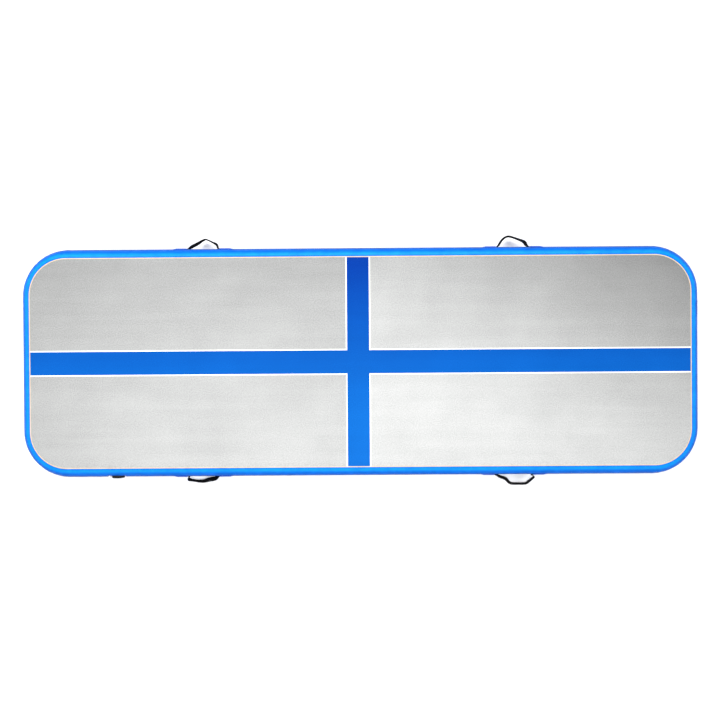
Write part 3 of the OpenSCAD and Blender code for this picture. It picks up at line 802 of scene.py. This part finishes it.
def sewing_lines(handle):
    """A piece of nothing but edges, which lie where both patches of a handle are sewn."""
    points, edges = [], []
    for end in (-1, 1):
        for row in patch_rows():
            from_mouth, v = np.array(dense(row)).T
            side, along = on_patch(handle, end, from_mouth)
            on = on_wall(side, along, math.pi / 2 - v / WALL_R, patch_height(from_mouth, v) + THREAD_UP)
            edges += [(len(points) + i, len(points) + i + 1) for i in range(len(on) - 1)]
            points += on.tolist()
    mesh = bpy.data.meshes.new("sewing lines")
    mesh.from_pydata(points, edges, [])
    return add_object("sewing lines", mesh)


# %% [markdown]
# ## Valve cap
# The cap is a moulded disc with a skirt that screws over the valve's neck, a shallow dish with a bar to turn
# it by, and ribs round its rim for the fingers. A turned shape comes from its half outline. The ribs repeat
# round a circle, so a node tree places them and joins them to the turned body.

# %% Cap body
# The outline runs over the dish, the rim and the skirt and back inside: radius, and distance out of the wall,
# in millimetres.
WALL_OUT_Y = wall_low.y
CAP_OUTLINE = [(0, 2.7), (18.6, 2.7), (19.6, 3.1), (20.2, 4.0), (20.8, 4.2), (26.2, 4.2), (27.0, 3.9),
               (27.4, 3.2), (27.4, -0.6), (27.0, -1.1), (26.4, -1.2), (22.6, -1.2), (22.6, -3.2),
               (22.3, -3.4), (20.2, -3.4), (19.95, -3.2), (19.95, 1.2), (0, 1.2)]


def turned(outline, steps):
    """Points and faces of a shape turned about the valve's axis, from radii and distances out of the wall."""
    points, faces, m = [], [], len(outline)
    for i in range(steps):
        a = math.tau * i / steps
        points += [(VALVE_X + r * MM * math.cos(a), WALL_OUT_Y - w * MM, MID + r * MM * math.sin(a))
                   for r, w in outline]
    for i in range(steps):
        k = (i + 1) % steps
        for j in range(m - 1):
            face = [i * m + j, k * m + j, k * m + j + 1, i * m + j + 1]
            if outline[j][0] == 0:
                face = [j, k * m + j + 1, i * m + j + 1]
            elif outline[j + 1][0] == 0:
                face = [i * m + j, k * m + j, j + 1]
            faces.append(face)
    return points, faces


def bar(length, width, low, high):
    """Points and faces of a bar with round ends and a rounded top, lying across the valve's axis."""
    ring, half_turn = [], 12
    for side in (1, -1):
        for i in range(half_turn + 1):
            a = math.pi / 2 - math.pi * i / half_turn
            ring.append((side * (length / 2 - width / 2) + side * width / 2 * math.cos(a),
                         side * width / 2 * math.sin(a)))
    points, levels = [], [(1.0, low), (1.0, high - 0.7), (0.88, high - 0.2), (0.62, high)]
    for share, w in levels:
        points += [(VALVE_X + x * MM * (1 - (1 - share) * 0.3), WALL_OUT_Y - w * MM, MID + z * MM * share)
                   for x, z in ring]
    return points, tube_faces(len(levels), len(ring))


cap_body = solid_piece("cap body", turned(CAP_OUTLINE, steps=96),
                       bar(length=33, width=6.5, low=2.5, high=4.2))
print("cap:", len(cap_body.data.polygons), "faces before its ribs")


# %% Ribs round the cap
def rib_tree():
    """A tree that stands ribs round a circle and joins them to the piece it is given."""
    tree = bpy.data.node_groups.new("Ribs round a rim", "GeometryNodeTree")
    ids = add_inputs(tree, {"Count": "NodeSocketInt", "Radius": "NodeSocketFloat",
                            "Middle": "NodeSocketVector", "Rib size": "NodeSocketVector",
                            "Plastic": "NodeSocketMaterial"})
    given = tree.nodes.new("NodeGroupInput").outputs
    circle = tree_node(tree, "GeometryNodeMeshCircle", inputs={"Vertices": given["Count"],
                                                               "Radius": given["Radius"]})
    upright = tree_node(tree, "GeometryNodeTransform", inputs={
        "Geometry": circle.outputs[0], "Translation": given["Middle"], "Rotation": (math.pi / 2, 0, 0)})
    shape = tree_node(tree, "GeometryNodeMeshUVSphere", inputs={"Segments": 10, "Rings": 7, "Radius": 1.0})
    placed = tree_node(tree, "GeometryNodeInstanceOnPoints", inputs={
        "Points": upright.outputs[0], "Instance": shape.outputs[0], "Scale": given["Rib size"]})
    real = tree_node(tree, "GeometryNodeRealizeInstances", inputs={0: placed.outputs[0]})
    smooth_ribs = tree_node(tree, "GeometryNodeSetShadeSmooth", inputs={0: real.outputs[0]})
    both = tree_node(tree, "GeometryNodeJoinGeometry", inputs={0: smooth_ribs.outputs[0]})
    tree.links.new(given["Geometry"], both.inputs[0])
    painted = tree_node(tree, "GeometryNodeSetMaterial", inputs={
        0: both.outputs[0], "Material": given["Plastic"]})
    tree.links.new(painted.outputs[0], tree.nodes.new("NodeGroupOutput").inputs[0])
    return tree, ids


# %% [markdown]
# ## Valve spring
# The spring is one wire wound round the poppet's stem, with its end turns laid flat so that it stands square.
# A Screw modifier could wind it, but a formula sets the pitch turn by turn. It is drawn again here, from the
# valve out to the washer, which the button pushes in to squeeze it.

# %% Spring
SPRING_TURNS, END_TURNS, WIRE_R = 4.0, 0.75, 0.5 * MM
spring_low, spring_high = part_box("valve_spring")


def wound(turns, end_turns, steps=28, sides=8):
    """Points and faces of a coil round the valve's axis, from its inner end out to the washer."""
    radius = (spring_high.x - spring_low.x) / 2 - WIRE_R
    inner, outer = spring_high.y - WIRE_R, spring_low.y + WIRE_R
    flat = end_turns * 2.1 * WIRE_R
    at = np.linspace(0, turns, round(turns * steps) + 1)
    rise = np.interp(at, [0, end_turns, turns - end_turns, turns],
                     [0, flat, inner - outer - flat, inner - outer])
    points = []
    for turn, up in zip(at * math.tau, rise):
        for a in np.linspace(0, math.tau, sides, endpoint=False):
            r = radius + WIRE_R * math.cos(a)
            points.append((VALVE_X + r * math.cos(turn), inner - up + WIRE_R * math.sin(a),
                           MID + r * math.sin(turn)))
    return points, tube_faces(len(at), sides)


spring = solid_piece("valve_spring_wound", wound(SPRING_TURNS, END_TURNS))
print("spring", round((spring_high.y - spring_low.y) / MM, 1), "mm long")

# %% [markdown]
# ## Shader maths
# Each finish is a node tree. Written as clicks or links it is hard to read, so a socket is wrapped in a small
# class: adding or multiplying two wrapped sockets adds the Math node that does it. Everything else, such as a
# noise or a colour mix, comes from one method that is told a node's type, its settings and its inputs.

# %% Sockets that can be added and multiplied
def operator(operation, reflected=False):
    """What a wrapped socket does for one of Python's operators: it adds a Math node."""
    def add_node(wire, other):
        values = (other, wire) if reflected else (wire, other)
        return wire.finish.node("ShaderNodeMath", {"operation": operation}, dict(enumerate(values)))
    return add_node


class Wire:
    """An output of a finish's node tree, usable in sums and products."""

    def __init__(self, finish, socket):
        self.finish, self.socket = finish, socket

    __add__ = operator("ADD")
    __radd__ = operator("ADD", reflected=True)
    __sub__ = operator("SUBTRACT")
    __rsub__ = operator("SUBTRACT", reflected=True)
    __mul__ = operator("MULTIPLY")
    __rmul__ = operator("MULTIPLY", reflected=True)
    __truediv__ = operator("DIVIDE")
    __rtruediv__ = operator("DIVIDE", reflected=True)


class Finish:
    """A material under construction, with a Principled shader whose plain values are set directly."""

    def __init__(self, name, **values):
        self.material = bpy.data.materials.new(name)
        self.material.use_nodes = True
        self.tree = self.material.node_tree
        self.tree.nodes.clear()
        self.shader = self.tree.nodes.new("ShaderNodeBsdfPrincipled")
        out = self.tree.nodes.new("ShaderNodeOutputMaterial")
        self.tree.links.new(self.shader.outputs[0], out.inputs[0])
        for key, value in values.items():
            self.shader.inputs[key.replace("_", " ")].default_value = value

    def node(self, kind, settings=None, inputs=None, output=0):
        """Adds a node: its settings first, then values or wires for its sockets. Returns one output."""
        node = self.tree.nodes.new(kind)
        for key, value in (settings or {}).items():
            if key == "stops":
                ramp = node.color_ramp.elements
                while len(ramp) < len(value):
                    ramp.new(0.5)
                for stop, (at, colour) in zip(ramp, value):
                    stop.position, stop.color = at, colour
            else:
                setattr(node, key, value)
        for key, value in (inputs or {}).items():
            if isinstance(value, Wire):
                self.tree.links.new(value.socket, node.inputs[key])
            else:
                node.inputs[key].default_value = value
        return Wire(self, node.outputs[output])

    def place(self):
        """The Object coordinates, whole and as x, y and z."""
        whole = self.node("ShaderNodeTexCoord", output="Object")
        return (whole, *(self.node("ShaderNodeSeparateXYZ", inputs={0: whole}, output=i) for i in range(3)))

    def noise(self, at, scale, detail=2.0, roughness=0.5, stretch=None):
        """Random tones about 0.5, stretched along an axis by a share under 1."""
        if stretch:
            at = self.node("ShaderNodeVectorMath", {"operation": "MULTIPLY"}, {0: at, 1: stretch})
        return self.node("ShaderNodeTexNoise", inputs={"Vector": at, "Scale": scale, "Detail": detail,
                                                       "Roughness": roughness}, output="Fac")

    def mix(self, a, b, share):
        """A colour between a and b."""
        return self.node("ShaderNodeMix", {"data_type": "RGBA"}, {0: share, 6: a, 7: b}, output=2)

    def times(self, a, b):
        """Two colours multiplied with each other."""
        return self.node("ShaderNodeMix", {"data_type": "RGBA", "blend_type": "MULTIPLY"},
                         {0: 1.0, 6: a, 7: b}, output=2)

    def ridge(self, along, pitch):
        """An even wave from 0 to 1 that repeats at a pitch."""
        return 0.5 + 0.5 * self.node("ShaderNodeMath", {"operation": "SINE"}, {0: along * (math.tau / pitch)})

    def clear(self, value):
        """A value kept between 0 and 1."""
        return self.node("ShaderNodeClamp", inputs={0: value})

    def finish(self, colour, roughness=None, height=None, depth=0.0001):
        """Links what changes over the surface, and gives back the material. The depth is in metres."""
        self.tree.links.new(colour.socket, self.shader.inputs["Base Color"])
        if roughness is not None:
            self.tree.links.new(roughness.socket, self.shader.inputs["Roughness"])
        if height is not None:
            bump = self.node("ShaderNodeBump", inputs={"Height": height, "Distance": depth, "Strength": 1.0})
            self.tree.links.new(bump.socket, self.shader.inputs["Normal"])
        return self.material


# %% [markdown]
# ## Cloth finishes
# The deck is vinyl with a fine pebbled grain that grips bare feet. The blue wall is smoother and has a soft
# shine, and the net of yarns inside the coating shows faintly through it. Printing lies over the grain and is
# a little smoother. Colour, roughness and height come from the same noises, so they agree with each other.
# A plain formula of the place paints light and shade into the deck and its blue print, darker toward the
# back.

# %% Deck and prints
WHITE, BLACK = (1, 1, 1, 1), (0, 0, 0, 1)


def painted_light_falloff(f, x, y):
    """Painted light and shade on the deck: brightest at the front, darker toward the back, the far ends and
    the left half.
    """
    right = f.clear(0.5 + x * 20)
    return 0.79 + right * 0.15 - x * (0.059 + 0.097 * x + 0.123 * y) - y * (0.421 + 0.140 * y)


def painted_shade_on_print(f, x, y):
    """Painted shade on the blue print: none at the front, and more toward the back."""
    return (0.42 - y) / 0.66


def deck_finish(name, dark, light, rough, grain, painted_light_share=painted_light_falloff, worn_and_shaded=WHITE):
    """A pebbled coated face: fine speckle, slow cloudiness and faint lengthwise marks of the rollers.

    Painted light and shade: where clean is 1 the colour is as given, and where it is 0 it is multiplied by
    worn.
    """
    f = Finish(name, Specular_IOR_Level=0.03)
    at, x, y, _ = f.place()
    speckle = f.noise(at, 210, 4, 0.72)
    clouds = f.noise(at, 4.5, 3, 0.55)
    rolled = f.noise(at, 26, 2, 0.5, stretch=(0.06, 1, 1))
    pebbles = f.node("ShaderNodeTexVoronoi", {"feature": "SMOOTH_F1"}, {"Vector": at, "Scale": 620.0},
                     output="Distance")
    tone = 0.5 + (speckle - 0.5) * 3.0 * grain + (clouds - 0.5) * 0.7 + (rolled - 0.5) * 0.35
    # Painted light and shade: the colour is multiplied toward worn where the place formula is low.
    wear = f.mix(worn_and_shaded, WHITE, f.clear(painted_light_share(f, x, y)))
    colour = f.times(f.mix(dark, light, f.clear(tone)), wear)
    return f.finish(colour, f.clear(rough + (clouds - 0.5) * 0.12 + (speckle - 0.5) * 0.2),
                    pebbles * 0.6 + speckle * 0.6, 0.00018 * grain)


finishes = {
    # The deck carries painted light and shade from the place formula: its colour is scaled down toward the
    # back and the far ends.
    "deck": deck_finish("deck vinyl", (0.36, 0.363, 0.361, 1), (0.525, 0.53, 0.525, 1), rough=0.5, grain=1.0,
                        worn_and_shaded=BLACK),
    "underside": deck_finish("underside vinyl", (0.30, 0.30, 0.31, 1), (0.40, 0.40, 0.41, 1), rough=0.6,
                             grain=0.8),
    # The blue print carries painted shade: darker and more violet toward the back.
    "stripe": deck_finish("blue print", (0.0017, 0.089, 0.373, 1), (0.0034, 0.124, 0.483, 1), rough=0.5,
                          grain=0.7, painted_light_share=painted_shade_on_print, worn_and_shaded=(0.2, 0.30, 0.58, 1)),
    "pinstripe": deck_finish("white print", (0.78, 0.78, 0.77, 1), (0.88, 0.88, 0.87, 1), rough=0.45,
                             grain=0.5),
}


# %% Wall cloth
def wall_finish(name, dark, light, painted_arc_light, level=0.03):
    """Smooth coated cloth whose net of yarns shows faintly, with soft clouds, creases and small scuffs.

    The tones given at distances down the wall's arc, in parts of a quarter turn, are painted light and shade.
    """
    f = Finish(name, Specular_IOR_Level=level)
    at, x, y, z = f.place()
    clouds = f.noise(at, 9, 3, 0.6)
    creases = f.noise(at, 52, 3, 0.62, stretch=(0.55, 0.8, 1))
    fine = f.noise(at, 240, 2, 0.5)
    scuffs = f.clear((f.noise(at, 60, 4, 0.7, stretch=(0.35, 0.35, 1)) - 0.62) * 6)
    net = f.ridge(x + y * 0.37, 0.0016) * 0.5 + f.ridge(z + y * 0.61, 0.0016) * 0.5
    tone = 0.5 + (clouds - 0.5) * 0.9 + (fine - 0.5) * 0.5 + (creases - 0.5) * 1.1 + scuffs * 0.25
    down = f.node("ShaderNodeAttribute", {"attribute_name": ARC}, output="Fac")
    stops = [(share, (painted_arc_ramp, painted_arc_ramp, painted_arc_ramp, 1)) for share, painted_arc_ramp in painted_arc_light]
    painted_arc_ramp = f.node("ShaderNodeValToRGB", {"stops": stops}, {0: down})
    return f.finish(f.times(f.mix(dark, light, f.clear(tone)), painted_arc_ramp),
                    f.clear(0.33 + (clouds - 0.5) * 0.12 + scuffs * 0.15),
                    net * 0.35 + fine * 0.5 + clouds * 2.5 + creases * 1.2, 0.00018)


# Painted shade on the blue wall cloth: darker toward the wall's mid-height, where the tube turns away from
# the lights.
CLOTH_PAINTED_SHADE = [(0.0, 1.0), (0.42, 1.0), (0.62, 0.88), (0.72, 0.55), (0.84, 0.31), (1.0, 0.27)]
# Painted highlight and shade on the seam tape: a bright streak near its top, and darker edges on either side
# of it.
TAPE_PAINTED_LIGHT = [(0.0, 0.60), (0.13, 0.64), (0.18, 0.94), (0.23, 1.0), (0.30, 0.98), (0.35, 0.74), (0.42, 0.66)]
EVEN = [(0.0, 1.0), (1.0, 1.0)]
finishes |= {
    "wall_blue": wall_finish("blue wall cloth", (0.001, 0.078, 0.42, 1), (0.002, 0.145, 0.70, 1),
                             CLOTH_PAINTED_SHADE),
    "patch": wall_finish("blue patch cloth", (0.001, 0.050, 0.36, 1), (0.003, 0.085, 0.50, 1), EVEN),
    "tape": wall_finish("blue seam tape", (0.002, 0.165, 0.72, 1), (0.006, 0.27, 0.97, 1), TAPE_PAINTED_LIGHT, 0.06),
    "wall_white": wall_finish("cream wall cloth", (0.56, 0.41, 0.27, 1), (0.70, 0.56, 0.40, 1), EVEN),
}


# %% [markdown]
# ## Webbing, thread and yarn
# Webbing is woven in fine ribs across its length, in a herringbone of two threads. That pattern has to run
# along the strap however it bends, so it reads the strap's own map of length and width.

# %% Woven finishes
RIB_PITCH, THREAD_PITCH, HERRINGBONE = 0.0021, 0.00125, 0.0031


def webbing_finish():
    """Ribs that slant one way and the other across the width, with fine threads, wear and fuzz."""
    f = Finish("black webbing", Specular_IOR_Level=0.06)
    uv = f.node("ShaderNodeTexCoord", output="UV")
    along, across = (f.node("ShaderNodeSeparateXYZ", inputs={0: uv}, output=i) for i in (0, 1))
    side = f.node("ShaderNodeMath", {"operation": "PINGPONG"}, {0: across / HERRINGBONE, 1: 1.0})
    ribs = f.ridge(along + side * 0.0016, RIB_PITCH)
    threads = f.ridge(across, THREAD_PITCH)
    at = f.place()[0]
    wear = f.noise(at, 130, 3, 0.6)
    fuzz = f.noise(at, 900, 2, 0.6)
    tone = ribs * 0.35 + threads * 0.2 + wear * 0.35 + fuzz * 0.2
    return f.finish(f.mix((0.001, 0.001, 0.0012, 1), (0.010, 0.010, 0.011, 1), f.clear(tone)),
                    f.clear(0.85 - ribs * 0.2), ribs * 0.7 + threads * 0.4 + fuzz * 0.3, 0.00028)


def woven_finish(name, dark, light, pitch):
    """Plain weave of one yarn over one, read from the place on the piece."""
    f = Finish(name, Specular_IOR_Level=0.3)
    at, x, y, z = f.place()
    warp, weft = f.ridge(x + z * 0.3, pitch), f.ridge(y + z * 0.3, pitch)
    weave = warp * (1 - weft) + weft * (1 - warp)
    slub = f.noise(at, 90, 3, 0.6)
    return f.finish(f.mix(dark, light, f.clear(weave * 0.55 + slub * 0.45)), f.clear(0.8 - weave * 0.15),
                    weave + slub * 0.4, pitch * 0.2)


finishes |= {
    "webbing": webbing_finish(),
    "thread": woven_finish("sewing thread", (0.006, 0.008, 0.02, 1), (0.02, 0.03, 0.06, 1), pitch=0.0005),
    "ply": woven_finish("woven ply", (0.55, 0.54, 0.50, 1), (0.80, 0.79, 0.75, 1), pitch=0.0018),
    "yarn": woven_finish("drop yarn", (0.60, 0.59, 0.55, 1), (0.84, 0.83, 0.79, 1), pitch=0.0009),
}


# %% [markdown]
# ## Moulded and metal finishes
# Moulded plastic has a fine spark-eroded grain and picks up paler scuffs. Rubber is duller. The spring is
# drawn wire, with marks that run along it.

# %% Hard finishes
def moulded_finish(name, dark, light, rough, grain=700.0, depth=0.00006, shine=0.5):
    """Moulded plastic or rubber: its grain, soft wear and paler scuffs that run round."""
    f = Finish(name, Specular_IOR_Level=shine)
    at = f.place()[0]
    fine = f.noise(at, grain, 2, 0.55)
    worn_and_shaded = f.noise(at, 55, 4, 0.65)
    scuffs = f.clear((f.noise(at, 210, 4, 0.75, stretch=(1, 1, 0.3)) - 0.6) * 5)
    return f.finish(f.mix(dark, light, f.clear(fine * 0.3 + worn_and_shaded * 0.4 + scuffs * 0.4)),
                    f.clear(rough + (worn_and_shaded - 0.5) * 0.2 + scuffs * 0.12), fine + scuffs * 0.3, depth)


def wire_finish():
    """Bright drawn wire with fine marks and a slight stain."""
    f = Finish("drawn spring wire", Metallic=1.0)
    at = f.place()[0]
    drawn = f.noise(at, 500, 2, 0.5, stretch=(1, 6, 1))
    stain = f.noise(at, 120, 3, 0.6)
    return f.finish(f.mix((0.42, 0.42, 0.43, 1), (0.68, 0.68, 0.69, 1), f.clear(drawn * 0.6 + stain * 0.4)),
                    f.clear(0.24 + stain * 0.2), drawn, 0.00002)


finishes |= {
    "plastic": moulded_finish("black moulded plastic", (0.004, 0.004, 0.005, 1), (0.024, 0.024, 0.026, 1),
                              rough=0.42, shine=0.15),
    "button": moulded_finish("grey moulded plastic", (0.12, 0.12, 0.13, 1), (0.24, 0.24, 0.25, 1), rough=0.4),
    "rubber": moulded_finish("black rubber", (0.009, 0.009, 0.009, 1), (0.04, 0.04, 0.041, 1), rough=0.68,
                             grain=420.0, depth=0.00009, shine=0.35),
    "seal": moulded_finish("red rubber seal", (0.22, 0.016, 0.010, 1), (0.42, 0.04, 0.028, 1), rough=0.5,
                           grain=500.0),
    "wire": wire_finish(),
}
print(len(finishes), "finishes")

# %% Sew the patches and rib the cap
sew, sew_ids = stitch_tree()
stitches = {name: grown(name + "_stitches", sewing_lines(handle), sew, sew_ids, {
    "Pitch": 3.1 * MM, "Stitch length": 2.5 * MM, "Thread radius": 0.42 * MM, "Thread": finishes["thread"]})
    for name, handle in HANDLES.items()}
ribs, rib_ids = rib_tree()
cap = grown("valve_cap_ribbed", cap_body, ribs, rib_ids, {
    "Count": 40, "Radius": 27.2 * MM, "Middle": (VALVE_X, WALL_OUT_Y - 1.4 * MM, MID),
    "Rib size": (0.9 * MM, 2.1 * MM, 0.9 * MM), "Plastic": finishes["plastic"]})

# %% [markdown]
# ## Joining the looks to the pack
# Each piece gets its finish, and the solids it stands for are hidden. The fixed pieces and the cap ride on a
# body of the pack, the webbing and the spring stay where they are drawn, and the pack's own small solids get
# finishes too.

# %% Finishes, bodies and hidden solids
def dress(piece, finish):
    """Gives a piece its finish."""
    piece.data.materials.clear()
    piece.data.materials.append(finishes[finish])


FIXED = [
    (deck, "deck", "deck_fabric", ["top_skin"]),
    (underside, "underside", "deck_fabric", ["bottom_skin"]),
    (long_stripe, "stripe", "stripe_blue", ["long_stripe"]),
    (cross_stripes, "stripe", "stripe_blue", ["cross_stripes"]),
    (pinstripes, "pinstripe", "stripe_white", ["pinstripes"]),
    (inner_wall, "wall_white", "wall_fabric_white", ["inner_wall"]),
    (outer_wall, "wall_blue", "wall_fabric_blue", ["outer_wall"]),
    (top_tape, "tape", "wall_fabric_blue", ["top_seam_tape"]),
    (bottom_tape, "tape", "wall_fabric_blue", ["bottom_seam_tape"]),
    (splice, "patch", "wall_fabric_blue", ["wall_splice"]),
    (valve_patch, "patch", "wall_fabric_blue", ["valve_patch"]),
    *[(patches[name], "patch", "wall_fabric_blue", [name + "_patches"]) for name in HANDLES],
    *[(stitches[name], "thread", "webbing_black", []) for name in HANDLES],
]
for piece, finish, material_slot, nodes in FIXED:
    dress(piece, finish)
    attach(piece, "mat")
    if nodes:
        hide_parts(*nodes)

dress(cap, "plastic")
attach(cap, "cap")
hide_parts("valve_cap")

for name, handle in HANDLES.items():
    strap = straps[name]
    dress(strap, "webbing")
    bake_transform(strap)
    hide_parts(name + "_tails", name + "_handle")

dress(spring, "wire")
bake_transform(spring)
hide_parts("valve_spring")

CAD_FINISHES = {
    "ply": ["top_ply", "bottom_ply"], "yarn": ["drop_threads"], "rubber": ["body_gasket", "cap_tether"],
    "plastic": ["valve_body", "backing_nut", "poppet"], "button": ["push_button", "spring_washer"],
    "seal": ["poppet_seal", "cap_seal"],
}
for finish, nodes in CAD_FINISHES.items():
    for node in nodes:
        materials = frame["nodes"][node].data.materials
        materials.clear()
        materials.append(finishes[finish])

# %% [markdown]
# ## Flat sizes of the cloth
# The deck and underside are rounded rectangles that reach a third of a quarter turn down the wall's arc. The
# wall's strips are as long as the wall is round, and as wide as their own arc.


# %% [markdown]
# ## Camera, floor and light
# The mat is seen from straight above, near its middle, as catalogues show it. A soft box hangs over the deck,
# and a long one beyond each side draws a highlight along the wall there. The floor is plain and pale.

# %% Camera
camera_data = bpy.data.cameras.new("Camera")
camera_data.lens, camera_data.sensor_width = 38.66, 36.0
camera = add_object("Camera", camera_data)
camera.location = (0.0086, 0.0329, 3.4905)
camera.rotation_euler = [math.radians(a) for a in (-0.429, 0.151, -0.393)]
bpy.context.scene.camera = camera

# %% Floor
FLOOR_HALF, FLOOR_DOWN = 9.0, 0.6 * MM
floor_corners = [(x, y, -FLOOR_DOWN) for x, y in ((-FLOOR_HALF, -FLOOR_HALF), (FLOOR_HALF, -FLOOR_HALF),
                                                  (FLOOR_HALF, FLOOR_HALF), (-FLOOR_HALF, FLOOR_HALF))]
floor_mesh = bpy.data.meshes.new("floor")
floor_mesh.from_pydata(floor_corners, [], [[0, 1, 2, 3]])
floor = add_object("floor", floor_mesh)
floor_finish = Finish("studio floor", Specular_IOR_Level=0.0, Roughness=1.0)
cloud = floor_finish.noise(floor_finish.place()[0], 2.0, 2)
floor_tone = floor_finish.mix((0.93, 0.93, 0.93, 1), (0.97, 0.97, 0.97, 1), cloud)
floor_mesh.materials.append(floor_finish.finish(floor_tone))


# %% Lights
def soft_box(name, place, target, size, watts):
    """A rectangular light at a place, turned to face a target."""
    light = bpy.data.lights.new(name, "AREA")
    light.shape, light.energy = "RECTANGLE", watts
    light.size, light.size_y = size
    box = add_object(name, light)
    box.location = place
    box.rotation_euler = (Vector(target) - Vector(place)).to_track_quat("-Z", "Y").to_euler()


SOFT_BOXES = {
    "Over the deck": dict(place=(-0.1, -1.0, 2.9), target=(0.0, -0.35, 0), size=(1.8, 1.0), watts=60),
    "Rear strip": dict(place=(-0.3, 2.3, 2.5), target=(0, 0.9, 0), size=(5.0, 1.6), watts=165),
    "Front strip": dict(place=(0, -2.8, 1.7), target=(0, -1.1, 0), size=(5.0, 1.3), watts=42),
    "Left strip": dict(place=(-3.0, 0, 1.7), target=(-1.7, 0, 0), size=(2.6, 0.6), watts=26),
    "Right strip": dict(place=(3.0, 0, 1.7), target=(1.9, 0, 0), size=(2.6, 0.6), watts=26),
}
for name, box in SOFT_BOXES.items():
    soft_box(name, **box)

world = bpy.data.worlds.new("studio")
world.use_nodes = True
background = world.node_tree.nodes["Background"]
background.inputs["Color"].default_value = WHITE
background.inputs["Strength"].default_value = 0.34
bpy.context.scene.world = world
bpy.context.scene.view_settings.view_transform = "Standard"
